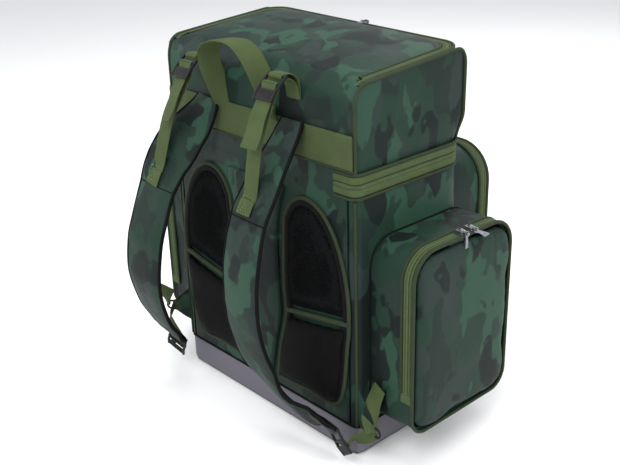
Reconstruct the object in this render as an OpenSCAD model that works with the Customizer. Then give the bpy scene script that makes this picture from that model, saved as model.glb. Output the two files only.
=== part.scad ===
// Tackle backpack: a box-shaped rucksack on a moulded base, with a tilting top compartment,
// box pockets on both sides and the front, and two padded shoulder straps.
// Origin: centre of the base's underside. +Z up, -Y is the harness side that lies on the wearer's back.

/* [Main compartment] */
// Width of the pack body, without the side pockets
pack_w = 400; // [370:5:430]
// Depth of the pack body, from the harness face to the front face
pack_d = 220; // [200:5:250]
// Height of the moulded waterproof base
base_h = 50; // [40:1:60]
// Height of the centre line of the wrap-round zip
seam_z = 413; // [405:1:420]
// Thickness of the padded fabric walls
wall_t = 4; // [3:0.5:5]
// Radius of the upright corners at the front
front_r = 36; // [20:1:50]
// Radius of the upright corners at the harness side
back_r = 12; // [8:1:16]

/* [Top compartment] */
// Height of the end panels at the harness side
box_back_z = 543.5; // [530:0.5:550]
// Rise of the top from the harness side to the front
box_rise = 17; // [8:1:22]
// Rise of the flap's dome above its rim
flap_dome = 13; // [6:1:18]

/* [Pockets] */
// How far the side pockets stand out
side_depth = 78; // [60:1:90]
// Length of the side pockets along the pack's side
side_len = 202; // [180:1:210]
// Height of the top of the side pockets
side_top = 332; // [300:1:340]
// How far the front pocket stands out
front_depth = 88; // [60:1:100]
// Width of the front pocket
front_w = 348; // [300:1:360]
// Height of the top of the front pocket
front_top = 390; // [340:1:392]
// Height at which the pocket panels fold
pocket_fold_z = 111; // [95:1:130]

/* [Harness] */
// Width of the wide webbing band across the back
band_h = 46; // [38:1:50]
// Height of the band's upper edge, where the straps are sewn in
strap_z = 482; // [470:1:490]
// Half the distance between the straps' centre lines at the top
strap_x = 91; // [80:1:95]
// Width of the adjusting webbing
web_w = 27; // [20:1:30]
// Thickness of a padded strap
strap_t = 11; // [8:1:14]

/* [Hidden] */

camo = "darkgreen";
olive = "olivedrab";
black = "dimgray";
hx = pack_w / 2;
hy = pack_d / 2;
gap = 0.3;                     // clearance between pieces that move apart
arc_steps = 6;                 // segments in a quarter circle of an outline
zip_h = 16.7;                  // height of one side of the wrap-round zip
zip_t = 3;                     // thickness of a zip tape with its piping
shell_top = seam_z - zip_h;    // where the main compartment's walls end
box_floor_z = seam_z + zip_h;  // underside of the top compartment
slope = atan(box_rise / pack_d);
hinge_end_x = 160;             // the wrap-round zip ends here on the harness face

// ---- outlines ----
function arc(cx, cy, r, from) =
    [for (i = [0:arc_steps]) let (a = from + 90 * i / arc_steps) [cx + r * cos(a), cy + r * sin(a)]];

// A rectangle [x0, y0, x1, y1] with radius r_low on its two lower corners and r_high on its upper ones.
function rounded(b, r_low, r_high) = concat(
    arc(b[2] - r_high, b[3] - r_high, r_high, 0), arc(b[0] + r_high, b[3] - r_high, r_high, 90),
    arc(b[0] + r_low, b[1] + r_low, r_low, 180), arc(b[2] - r_low, b[1] + r_low, r_low, 270));

function grown(b, by) = [b[0] - by, b[1] - by, b[2] + by, b[3] + by];

// The pack's plan outline, set in (or out, if negative) by inset.
module plan(inset) {
    polygon(rounded([-hx + inset, -hy + inset, hx - inset, hy - inset], back_r - inset, front_r - inset));
}

// Extrudes a YZ outline along X from x0 to x1.
module along_x(x0, x1) {
    translate([x0, 0, 0]) rotate([90, 0, 90]) linear_extrude(x1 - x0) children();
}

// Extrudes an XZ outline along Y from y0 to y1.
module along_y(y0, y1) {
    translate([0, y1, 0]) rotate([90, 0, 0]) linear_extrude(y1 - y0) children();
}

module both_sides() {
    children();
    mirror([1, 0, 0]) children();
}

// ---- a flat band swept along a route ----
function unit(v) = v / norm(v);
function tangent(p, i) = unit(p[min(i + 1, len(p) - 1)] - p[max(i - 1, 0)]);
// The band's width direction: the X axis, turned square to the route.
function across(t) = unit([1, 0, 0] - t[0] * t);
// The same for a band whose broad face looks away from the back, at any slant.
function band_across(t) = unit([-t[2], 0, t[0]]);
// Eight corners of a band's section: chamfered along its long edges.
function section(p, t, w, thick) =
    let (a = band_across(t), n = cross(a, t), h = w / 2, c = min(thick * 0.3, h * 0.3))
    [for (q = [[-h, -c], [-h + c, -thick / 2], [h - c, -thick / 2], [h, -c],
               [h, c], [h - c, thick / 2], [-h + c, thick / 2], [-h, c]]) p + a * q[0] + n * q[1]];

module swept_band(route, widths, thick) {
    n = len(route);
    rings = [for (i = [0:n - 1]) section(route[i], tangent(route, i), widths[i], thick)];
    sides = [for (i = [0:n - 2], k = [0:7]) let (a = i * 8 + k, b = i * 8 + (k + 1) % 8) [a, b, b + 8, a + 8]];
    first = [for (k = [7:-1:0]) k];
    last = [for (k = [0:7]) (n - 1) * 8 + k];
    polyhedron([for (r = rings) each r], concat(sides, [first], [last]));
}

// ---- base and main compartment ----
base_floor_t = 3;
module base_tub() {
    color("gray") difference() {
        union() {
            linear_extrude(6) plan(3);
            translate([0, 0, 3]) linear_extrude(base_h - 5) plan(0);
        }
        translate([0, 0, base_floor_t + 3]) linear_extrude(base_h) plan(wall_t);
    }
}

module base_piping() {
    color(black) translate([0, 0, base_h - 2]) linear_extrude(2) difference() {
        plan(-1.5);
        plan(wall_t);
    }
}

module base_board() {
    color("white") translate([0, 0, base_floor_t + 3]) linear_extrude(3) plan(8);
}

panel_half_w = hx - back_r - 4;    // half-width of the separate harness panel
module harness_cut() {
    translate([-panel_half_w, -hy - 1, base_h]) cube([2 * panel_half_w, wall_t + 1, shell_top - base_h]);
}

module main_ring() {
    translate([0, 0, base_h]) linear_extrude(shell_top - base_h) difference() {
        plan(0);
        plan(wall_t);
    }
}

module main_wrap() {
    color(camo) difference() {
        main_ring();
        harness_cut();
    }
}

module back_panel() {
    color(camo) {
        intersection() {
            main_ring();
            harness_cut();
        }
        hinge_fabric(shell_top);
    }
}

module back_stiffener() {
    color("white") translate([-panel_half_w + 12, -hy + wall_t, base_h + 6])
        cube([2 * panel_half_w - 24, 2, shell_top - base_h - 16]);
}

// ---- back pads: an arched window on each side of a padded spine ----
pad_t = 6;
pad_front = -hy - pad_t;
// Outline of the right-hand window, inner edge near the spine, as [x, z].
function window() = concat(
    [[34, 68], [166, 80]],
    [for (i = [0:arc_steps * 2]) let (a = -16 + 106 * i / (arc_steps * 2)) [106 + 82 * cos(a), 224 + 152 * sin(a)]],
    [for (i = [1:arc_steps]) let (a = 90 + 76 * i / arc_steps) [106 + 46 * cos(a), 316 + 60 * sin(a)]],
    [[56, 240], [58, 180], [42, 120]]);
bar_low = 176;        // height of the cross bar at the spine side
bar_rise = 38;        // how much higher it is at the outer side
bar_w = 9;

module half_plane(below) {
    shift = below ? -400 : bar_w;
    polygon([[0, bar_low + shift], [220, bar_low + bar_rise + shift],
             [220, bar_low + bar_rise + shift + 400 - bar_w], [0, bar_low + shift + 400 - bar_w]]);
}

module window_part(below) {
    intersection() {
        offset(delta = -7) polygon(window());
        half_plane(below);
    }
}

module mesh_pads() {
    color("black") both_sides() along_y(-hy - 3, -hy) window_part(false);
}

module lumbar_pads() {
    color("black") both_sides() along_y(pad_front, -hy) window_part(true);
}

module pad_bindings() {
    color(olive) both_sides() along_y(-hy - 5, -hy) difference() {
        polygon(window());
        window_part(false);
        window_part(true);
    }
}

module spine_pad() {
    color(camo) along_y(pad_front, -hy)
        polygon([[-24, 66], [24, 66], [36, 120], [50, 180], [48, 240], [50, 320], [70, 384], [-70, 384],
                 [-50, 320], [-48, 240], [-50, 180], [-36, 120]]);
}

module back_piping() {
    corner = back_r + 2.5;
    color(olive) both_sides()
        translate([hx - back_r + corner * cos(45), -hy + back_r - corner * cos(45), base_h])
            cylinder(h = shell_top - base_h, r = 2.5, $fn = 24);
}

// ---- wrap-round zip ----
module zip_ring(z) {
    translate([0, 0, z]) linear_extrude(zip_h - gap) difference() {
        plan(-1);
        plan(zip_t);
        translate([-hinge_end_x, -hy - 5]) square([2 * hinge_end_x, 20]);
    }
}

// Between the zip's ends the harness panel runs on, and its fold is the hinge of the top compartment.
module hinge_fabric(z) {
    translate([-hinge_end_x, -hy, z]) cube([2 * hinge_end_x, zip_t, zip_h - gap]);
}

module main_zip_lower() {
    color(olive) zip_ring(shell_top);
}

module main_zip_upper() {
    color(olive) zip_ring(seam_z + gap);
}

// ---- top compartment ----
top_r_back = 14;
top_r_front = 22;
// Side view of the top compartment as [y, z], set in by inset.
top_r_drop = 1 / cos(slope);
function box_side(inset) =
    let (rise = box_rise / pack_d,
         zb = box_back_z + top_r_back * (rise - top_r_drop),
         zf = box_back_z + box_rise - top_r_front * (rise + top_r_drop))
    concat([[hy - inset, box_floor_z]],
           arc(hy - top_r_front, zf, top_r_front - inset, 0),
           arc(-hy + top_r_back, zb, top_r_back - inset, 90),
           [[-hy + inset, box_floor_z]]);

module box_solid(inset) {
    intersection() {
        translate([0, 0, box_floor_z]) linear_extrude(200) plan(inset);
        along_x(-hx, hx) polygon(box_side(inset));
    }
}

// Places its children on the sloping top, with x across, y forward from the harness edge, z up.
module on_top() {
    translate([0, -hy, box_back_z]) rotate([slope, 0, 0]) children();
}

rim = 17;    // width of the rim that the flap's zip is sewn to
function top_outline(inset) = rounded([-hx + inset, inset, hx - inset, pack_d - inset], back_r, front_r - inset / 2);

module top_box_shell() {
    color(camo) {
        difference() {
            box_solid(0);
            translate([0, 0, -0.01]) box_solid(wall_t);
            on_top() translate([0, 0, -30]) linear_extrude(60) polygon(top_outline(rim + 6));
        }
        hinge_fabric(seam_z + gap);
    }
}

module top_box_floor() {
    color(camo) translate([0, 0, box_floor_z]) linear_extrude(3) plan(wall_t);
}

module flap_zip_lower() {
    color(olive) on_top() translate([0, 0, 0.1]) linear_extrude(2.9) difference() {
        polygon(top_outline(5));
        polygon(top_outline(rim));
        translate([-hx, -1]) square([pack_w, rim + 1]);
    }
}

module flap_zip_upper() {
    color(olive) on_top() translate([0, 0, 3 + gap]) linear_extrude(2) difference() {
        polygon(top_outline(8));
        polygon(top_outline(rim - 1));
        translate([-hx, -1]) square([pack_w, rim + 1]);
    }
}

flap_y0 = rim;             // the flap starts here, measured forward from the harness edge
flap_base = 3 + gap;       // underside of the flap above the rim plane
// A cushion-shaped outline over the span from s0 to s1.
function dome(s0, s1) = concat(
    [[s1, flap_base], [s0, flap_base]],
    [for (i = [0:12]) let (k = i / 12) [s0 + k * (s1 - s0), flap_base + 4 + flap_dome * (1 - pow(abs(2 * k - 1), 3))]]);

module top_flap() {
    color(camo) on_top() intersection() {
        translate([0, 0, 0]) linear_extrude(80) polygon(top_outline(rim - 1));
        along_x(-hx, hx) polygon(dome(flap_y0, pack_d - 10));
        along_y(0, pack_d) polygon(dome(-hx + rim - 6, hx - rim + 6));
    }
}

module webbing_band() {
    color(olive) translate([-hx + 3, -hy - 2.5, strap_z - band_h]) cube([pack_w - 6, 2.5, band_h]);
}

piping_w = 5;
module box_piping() {
    color(olive) both_sides() along_x(hx + gap, hx + 3) difference() {
        intersection() {
            polygon(box_side(14));
            translate([-hy, box_floor_z + 1]) square([pack_d, 200]);
        }
        polygon(box_side(14 + piping_w));
    }
}

// ---- side pockets, right-hand one; the left one is its mirror image ----
side_y0 = -84;
side_x0 = hx + gap;
side_x1 = hx + side_depth - 4;
side_z0 = 62;
side_box = [side_y0, side_z0, side_y0 + side_len, side_top];
panel_t = 4;
panel_x0 = side_x1 + gap;
panel_x1 = panel_x0 + panel_t;

module side_outline(by) {
    polygon(rounded(grown(side_box, by), 28, 40));
}

module above_fold(z) {
    intersection() {
        children();
        translate([-300, z]) square([600, 400]);
    }
}

module side_wall() {
    difference() {
        union() {
            along_x(side_x0, side_x1) side_outline(0);
            along_x(side_x1 - 1, panel_x1) difference() {
                side_outline(0);
                translate([-300, pocket_fold_z - 0.5]) square([600, 400]);
            }
        }
        along_x(side_x0 + 3, side_x1) side_outline(-wall_t);
        along_x(side_x1 - 1, panel_x0) difference() {
            side_outline(-wall_t);
            translate([-300, -400]) square([600, 400 + side_z0]);
        }
    }
}

module pocket_wall_right() { color(camo) side_wall(); }
module pocket_wall_left() { mirror([1, 0, 0]) pocket_wall_right(); }

zip_out = 2.2;
module pocket_zips() {
    color(olive) both_sides() along_x(side_x1 - 15, side_x1 - gap) above_fold(pocket_fold_z + 1) difference() {
        side_outline(zip_out);
        side_outline(0);
    }
}

module pocket_panel_right() {
    color(camo) along_x(panel_x0, panel_x1) above_fold(pocket_fold_z + 0.5) side_outline(0);
}
module pocket_panel_left() { mirror([1, 0, 0]) pocket_panel_right(); }

module pocket_trim_right() {
    color(olive) along_x(panel_x0, panel_x1 + 1.5) above_fold(pocket_fold_z + 0.5) difference() {
        side_outline(zip_out);
        side_outline(0);
    }
}
module pocket_trim_left() { mirror([1, 0, 0]) pocket_trim_right(); }

// ---- front pocket ----
front_box = [-front_w / 2, side_z0, front_w / 2, front_top];
front_y0 = hy + gap;
front_y1 = hy + front_depth - 4;
front_panel_y0 = front_y1 + gap;
front_panel_y1 = front_panel_y0 + panel_t;

module front_outline(by) {
    polygon(rounded(grown(front_box, by), 30, 52));
}

module front_pocket_wall() {
    color(camo) difference() {
        union() {
            along_y(front_y0, front_y1) front_outline(0);
            along_y(front_y1 - 1, front_panel_y1) difference() {
                front_outline(0);
                translate([-300, pocket_fold_z - 0.5]) square([600, 400]);
            }
        }
        along_y(front_y0 + 3, front_y1) front_outline(-wall_t);
        along_y(front_y1 - 1, front_panel_y0) front_outline(-wall_t);
    }
}

module front_pocket_zip() {
    color(olive) along_y(front_y1 - 15, front_y1 - gap) above_fold(pocket_fold_z + 1) difference() {
        front_outline(zip_out);
        front_outline(0);
    }
}

module front_pocket_panel() {
    color(camo) along_y(front_panel_y0, front_panel_y1) above_fold(pocket_fold_z + 0.5) front_outline(0);
}

module front_pocket_trim() {
    color(olive) along_y(front_panel_y0, front_panel_y1 + 1.5) above_fold(pocket_fold_z + 0.5) difference() {
        front_outline(zip_out);
        front_outline(0);
    }
}

// ---- zip sliders and pulls ----
pin_r = 1.4;
pull_len = 34;
// A slider that stands on a tape (z = 0), with its pin along +X.
module slider_shape() {
    translate([-11, -5.5, 0]) cube([14, 11, 5]);
    translate([3, 0, 2.8]) rotate([0, 90, 0]) cylinder(h = 6.5, r = pin_r, $fn = 24);
    translate([9, 0, 2.8]) rotate([0, 90, 0]) cylinder(h = 1.2, r = 2.6, $fn = 24);
}

// A pull that hangs from the pin, turned by tilt about it.
module pull_shape(tilt) {
    translate([5.6, 0, 2.8]) rotate([tilt, 0, 0]) rotate([0, 90, 0]) difference() {
        linear_extrude(2) difference() {
            polygon(rounded([-3.4, -4, pull_len, 4], 3, 3));
            translate([pull_len - 8, -1.6]) square([5, 3.2]);
        }
        translate([0, 0, -1]) cylinder(h = 4, r = pin_r + 0.5, $fn = 24);
    }
}

slider_y = [15, 34];                  // the two sliders meet near the middle of the top run
pull_tilt = [0, 58];                  // the front pull lies over towards the front
module at_slider(i) {
    translate([panel_x1 - 2, slider_y[i], side_top + zip_out + gap]) children();
}
module slider_right_rear() { color(black) at_slider(0) slider_shape(); }
module slider_right_front() { color(black) at_slider(1) slider_shape(); }
module pull_right_rear() { color(black) at_slider(0) pull_shape(pull_tilt[0]); }
module pull_right_front() { color(black) at_slider(1) pull_shape(pull_tilt[1]); }
module slider_left_rear() { mirror([1, 0, 0]) slider_right_rear(); }
module slider_left_front() { mirror([1, 0, 0]) slider_right_front(); }
module pull_left_rear() { mirror([1, 0, 0]) pull_right_rear(); }
module pull_left_front() { mirror([1, 0, 0]) pull_right_front(); }

module front_pocket_slider() {
    color(black) translate([0, front_panel_y1 - 2, front_top + zip_out + gap]) rotate([0, 0, 90]) {
        slider_shape();
        pull_shape(0);
    }
}

module main_zip_slider() {
    color(black) translate([-hx - 1 - gap, 24, seam_z]) rotate([0, 0, 180]) {
        translate([0, -5.5, -6]) cube([4, 11, 12]);
        translate([4, 0, 0]) rotate([0, 90, 0]) cylinder(h = 4.5, r = pin_r, $fn = 24);
        translate([8, 0, 0]) rotate([0, 90, 0]) cylinder(h = 1.2, r = 2.6, $fn = 24);
        translate([-0.5, 0, -2.8]) pull_shape(0);
    }
}

module flap_slider() {
    color(black) on_top() translate([0, pack_d + 0.5, 6]) rotate([0, 0, 90]) {
        slider_shape();
        pull_shape(-0);
    }
}

// ---- harness ----
// Middle line of each strap. The top piece is sewn in under the band and hangs from the top compartment.
right_top = [[91, -119.5, 477], [90, -130, 462], [89, -143, 444], [88, -154, 428]];
left_top = [[-92, -119.5, 477], [-95, -131, 462], [-100, -146, 444], [-104, -161, 428]];
right_route = [[86, -179, 391], [84.5, -195, 362.5], [83.5, -207, 318], [81, -212, 270], [77, -208, 213],
               [78, -194, 156], [86, -172, 104], [103, -158, 76], [132, -149, 63], [160, -145.5, 64],
               [175, -137, 52]];
left_route = [[-112, -189, 391], [-115, -203, 362.5], [-116, -221, 318], [-118, -233, 278], [-127, -234, 218],
              [-140, -216, 160], [-147, -197, 124], [-150, -179, 99], [-161, -163, 80]];
right_top_widths = [44, 48, 53, 58];
left_top_widths = [45, 54, 62, 68];
right_widths = [66, 69, 71, 71, 71, 68, 60, 54, 48, 40, 36];
left_widths = [74, 75, 75, 75, 74, 70, 62, 50, 38];

module strap_tops() {
    color(camo) {
        swept_band(right_top, right_top_widths, strap_t);
        swept_band(left_top, left_top_widths, strap_t);
    }
}
module strap_right() { color(camo) swept_band(right_route, right_widths, strap_t); }
module strap_left() { color(camo) swept_band(left_route, left_widths, strap_t); }

// The sewn ends of the straps, flat on the band.
module strap_seam_tabs() {
    color(camo) both_sides() translate([strap_x - 22, -hy - 5.5, strap_z - 4]) cube([44, 3, 6]);
}

// Adjusting webbing, sewn to each strap at its seam.
module lifter_web_right() {
    color(olive) swept_band([[85, -204, 361], [86, -195.5, 378], [87, -187, 394]], [web_w, web_w, web_w], 2.4);
}
module lifter_web_left() {
    color(olive) swept_band([[-115.5, -212.5, 361], [-113.5, -204, 378], [-111.5, -196.5, 394]], [web_w, web_w, web_w], 2.4);
}

// A ladder-lock buckle: two rails and three bars. The bar at the origin is the one it turns on; it runs down -Z.
lock_w = web_w + 10;
lock_len = 34;
bar_r = 1.8;
module ladder_lock() {
    for (s = [-1, 1]) translate([s * (lock_w / 2 - 2) - 2, -2.5, -lock_len]) cube([4, 5, lock_len + 3]);
    for (z = [0, -lock_len * 0.45]) translate([-lock_w / 2 + 3, 0, z])
        rotate([0, 90, 0]) cylinder(h = lock_w - 6, r = bar_r, $fn = 24);
    translate([-lock_w / 2 + 3, -4, -lock_len]) cube([lock_w - 6, 5, 6]);
}

lifter_y = -hy - 30;
lifter_z = 547;
lifter_tilt = 30;
module lifter_buckle_right() {
    color(black) translate([strap_x, lifter_y, lifter_z]) rotate([-lifter_tilt, 0, 0]) ladder_lock();
}
module lifter_buckle_left() { mirror([1, 0, 0]) lifter_buckle_right(); }

// Free ends of the adjusting webbing, with a folded hem, hanging from the buckles.
tail_len = 66;
module lifter_tail_right() {
    color(olive) translate([strap_x, lifter_y, lifter_z]) rotate([-lifter_tilt, 0, 0])
        translate([-web_w / 2, -6.5, -lock_len - tail_len]) {
            cube([web_w, 2.4, tail_len + 6]);
            translate([0, -2.4, 0]) cube([web_w, 2.4, 14]);
        }
}
module lifter_tail_left() { mirror([1, 0, 0]) lifter_tail_right(); }

// Webbing loops that hold the upper buckles to the top compartment.
module lifter_anchors() {
    anchor_w = web_w - 1;
    color(olive) both_sides() along_x(strap_x - anchor_w / 2, strap_x + anchor_w / 2) difference() {
        union() {
            translate([lifter_y, lifter_z]) circle(r = 4.6, $fn = 24);
            polygon([[lifter_y, lifter_z + 4.4], [lifter_y, lifter_z + 1], [-hy + 1.8, 537], [-hy + 1.8, 540.5]]);
        }
        translate([lifter_y, lifter_z]) circle(r = bar_r + 0.5, $fn = 24);
    }
}

// Grab handle: a loop of webbing that stands up from the band.
handle_half = 50;
handle_rise = 98;
handle_lean = 17;
module grab_handle() {
    color(olive) translate([0, -hy - 5, strap_z + 3]) rotate([handle_lean, 0, 0]) difference() {
        along_y(-17, 15) translate([0, 0]) difference() {
            union() {
                translate([-handle_half, 0]) square([2 * handle_half, handle_rise - 30]);
                translate([0, handle_rise - 30]) scale([1, 30 / handle_half]) circle(r = handle_half, $fn = 48);
            }
            translate([-handle_half + 3, -1]) square([2 * handle_half - 6, handle_rise - 29.9]);
            translate([0, handle_rise - 30])
                scale([1, 27 / (handle_half - 3)]) circle(r = handle_half - 3, $fn = 48);
        }
        translate([-100, -40, -50]) cube([200, 80, 50]);
        for (s = [0, 1]) mirror([0, s, 0]) translate([-100, 1.5, 0])
            rotate([-18, 0, 0]) translate([0, 0, -40]) cube([200, 60, 100]);
    }
}

// ---- lower fixings ----
// A triangular tab stands out from each back corner, sewn in from z_low to z_high, with a ring at its tip.
tab_reach = 30;
ring_r = 9;
right_tab = [-4, 52, 114, 58];     // [turn about Z, lower edge, upper edge, height of the tip]
left_tab = [-42, 70, 136, 100];

module at_corner(tab) {
    translate([hx + 2, -hy + 5, 0]) rotate([0, 0, tab[0]]) rotate([90, 0, 0]) children();
}

module corner_tab(tab) {
    at_corner(tab) translate([0, 0, -1.5]) linear_extrude(3)
        polygon([[0.5, tab[1]], [tab_reach - 6, tab[3] - 9], [tab_reach - 6, tab[3] + 9], [0.5, tab[2]]]);
}

module tab_ring(tab) {
    at_corner(tab) translate([tab_reach + ring_r - 6, tab[3], -2]) difference() {
        cylinder(h = 4, r = ring_r, $fn = 32);
        translate([0, 0, -1]) cylinder(h = 6, r = ring_r - 3, $fn = 32);
    }
}

module corner_tabs() {
    color(camo) {
        corner_tab(right_tab);
        mirror([1, 0, 0]) corner_tab(left_tab);
    }
}

module tab_rings() {
    color(black) {
        tab_ring(right_tab);
        mirror([1, 0, 0]) tab_ring(left_tab);
    }
}

// Adjusting webbing from each lower buckle to its ring, as short upright runs, with a free end.
right_web = [[208, -116, 47], [224, -111.5, 54]];
left_web = [[-196, -149, 82], [-208, -143, 88]];
module upright_web(a, b) {
    translate(a) rotate([0, 0, atan2(b[1] - a[1], b[0] - a[0])])
        translate([0, -1.2, -web_w / 2]) cube([norm([b[0] - a[0], b[1] - a[1]]), 2.4, web_w]);
}

module lower_webs() {
    color(olive) {
        upright_web(right_web[0], right_web[1]);
        upright_web(left_web[0], left_web[1]);
    }
}

// Lower buckles: each carries on from the end of its strap.
module aim(p, t) {
    a = across(t);
    n = cross(-t, a);
    multmatrix([[a[0], n[0], -t[0], p[0]], [a[1], n[1], -t[1], p[1]], [a[2], n[2], -t[2], p[2]], [0, 0, 0, 1]])
        children();
}
right_end = right_route[len(right_route) - 1];
right_aim = unit([0.66, 0.3, -0.62]);
left_end = left_route[len(left_route) - 1];
left_aim = unit([-0.52, 0.42, -0.74]);
module strap_buckle_right() {
    color(black) aim(right_end + 7 * right_aim, right_aim) ladder_lock();
}
module strap_buckle_left() {
    color(black) aim(left_end + 7 * left_aim, left_aim) ladder_lock();
}

base_tub();
base_piping();
base_board();
main_wrap();
back_panel();
back_stiffener();
spine_pad();
mesh_pads();
lumbar_pads();
pad_bindings();
back_piping();
main_zip_lower();
corner_tabs();
tab_rings();
lower_webs();
pocket_wall_left();
pocket_wall_right();
pocket_zips();
front_pocket_wall();
front_pocket_zip();
pocket_panel_left();
pocket_panel_right();
pocket_trim_left();
pocket_trim_right();
front_pocket_panel();
front_pocket_trim();
top_box_shell();
top_box_floor();
main_zip_upper();
webbing_band();
box_piping();
flap_zip_lower();
strap_seam_tabs();
lifter_anchors();
top_flap();
flap_zip_upper();
grab_handle();
lifter_buckle_left();
lifter_buckle_right();
lifter_tail_left();
lifter_tail_right();
strap_tops();
lifter_web_left();
lifter_web_right();
strap_left();
strap_right();
strap_buckle_left();
strap_buckle_right();
slider_left_rear();
slider_left_front();
slider_right_rear();
slider_right_front();
pull_left_rear();
pull_left_front();
pull_right_rear();
pull_right_front();
front_pocket_slider();
main_zip_slider();
flap_slider();
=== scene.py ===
import math

import bmesh
import bpy
from mathutils import Matrix, Vector, noise


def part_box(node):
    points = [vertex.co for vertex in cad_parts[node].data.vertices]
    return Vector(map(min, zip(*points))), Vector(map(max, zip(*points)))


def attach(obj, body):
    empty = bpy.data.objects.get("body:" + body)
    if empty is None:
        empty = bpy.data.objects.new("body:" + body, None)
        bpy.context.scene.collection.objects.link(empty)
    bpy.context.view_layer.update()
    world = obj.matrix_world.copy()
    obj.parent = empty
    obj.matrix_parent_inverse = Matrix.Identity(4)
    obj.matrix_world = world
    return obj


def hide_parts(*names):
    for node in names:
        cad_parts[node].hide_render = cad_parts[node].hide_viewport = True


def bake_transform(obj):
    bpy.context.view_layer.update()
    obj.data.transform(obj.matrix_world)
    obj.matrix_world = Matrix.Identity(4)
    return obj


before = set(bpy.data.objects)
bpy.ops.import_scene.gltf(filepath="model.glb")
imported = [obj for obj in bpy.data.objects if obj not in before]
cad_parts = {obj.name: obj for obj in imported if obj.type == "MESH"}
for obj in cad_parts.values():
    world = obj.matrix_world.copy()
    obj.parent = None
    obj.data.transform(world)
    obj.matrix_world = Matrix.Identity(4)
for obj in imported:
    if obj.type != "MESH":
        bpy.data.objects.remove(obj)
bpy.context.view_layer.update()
MM = 0.001


def V(x, y, z):
    """A point given in millimetres, as a vector in metres."""
    return Vector((x * MM, y * MM, z * MM))


def extent(node):
    """A CAD node's box in millimetres: (x0, y0, z0), (x1, y1, z1)."""
    low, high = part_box(node)
    return [c / MM for c in low], [c / MM for c in high]


# ---------------------------------------------------------------- driving dimensions, millimetres
TUB1 = extent("base_tub")[1]
HX, HY = TUB1[0], TUB1[1]                      # half width and half depth of the pack body
BASE_TOP = extent("main_wrap")[0][2]           # where the moulded base ends
ZIP_LOW = extent("main_zip_lower")[0][2]       # lower edge of the wrap-round zip
ZIP_TOP = extent("main_zip_upper")[1][2]       # upper edge of it
SEAM = (ZIP_LOW + ZIP_TOP) / 2
BAND0, BAND1 = extent("webbing_band")
SIDE0, SIDE1 = extent("pocket_wall_right")
PANEL0, PANEL1 = extent("pocket_panel_right")
FRONT0, FRONT1 = extent("front_pocket_wall")
FPANEL0, FPANEL1 = extent("front_pocket_panel")
FOLD_Z = PANEL0[2]                             # the pocket panels fold here
BACK_R, FRONT_R = 12, 36                       # upright corner radii at the harness side and the front
BOX_BACK_Z, BOX_RISE = 543.5, 17               # top compartment: height at the back edge, rise to the front
SLOPE = math.atan(BOX_RISE / (2 * HY))
ZIP_END_X = 160                                # the wrap-round zip stops here on the harness face
HINGE_Z = SEAM - 11                            # from here up the harness panel's cloth is the hinge
UP, OUT = Vector((0, 0, 1)), Vector((0, -1, 0))     # upwards, and away from the harness face


def clamp(t):
    return min(1.0, max(0.0, t))


def ease(t):
    """A smooth step for t from 0 to 1."""
    return t * t * (3 - 2 * t)


# ---------------------------------------------------------------- materials
def srgb(r, g, b):
    """An everyday 0-255 colour as the linear one that Blender mixes with."""
    def one(c):
        c /= 255
        return c / 12.92 if c <= 0.04045 else ((c + 0.055) / 1.055) ** 2.4
    return (one(r), one(g), one(b), 1.0)


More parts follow.
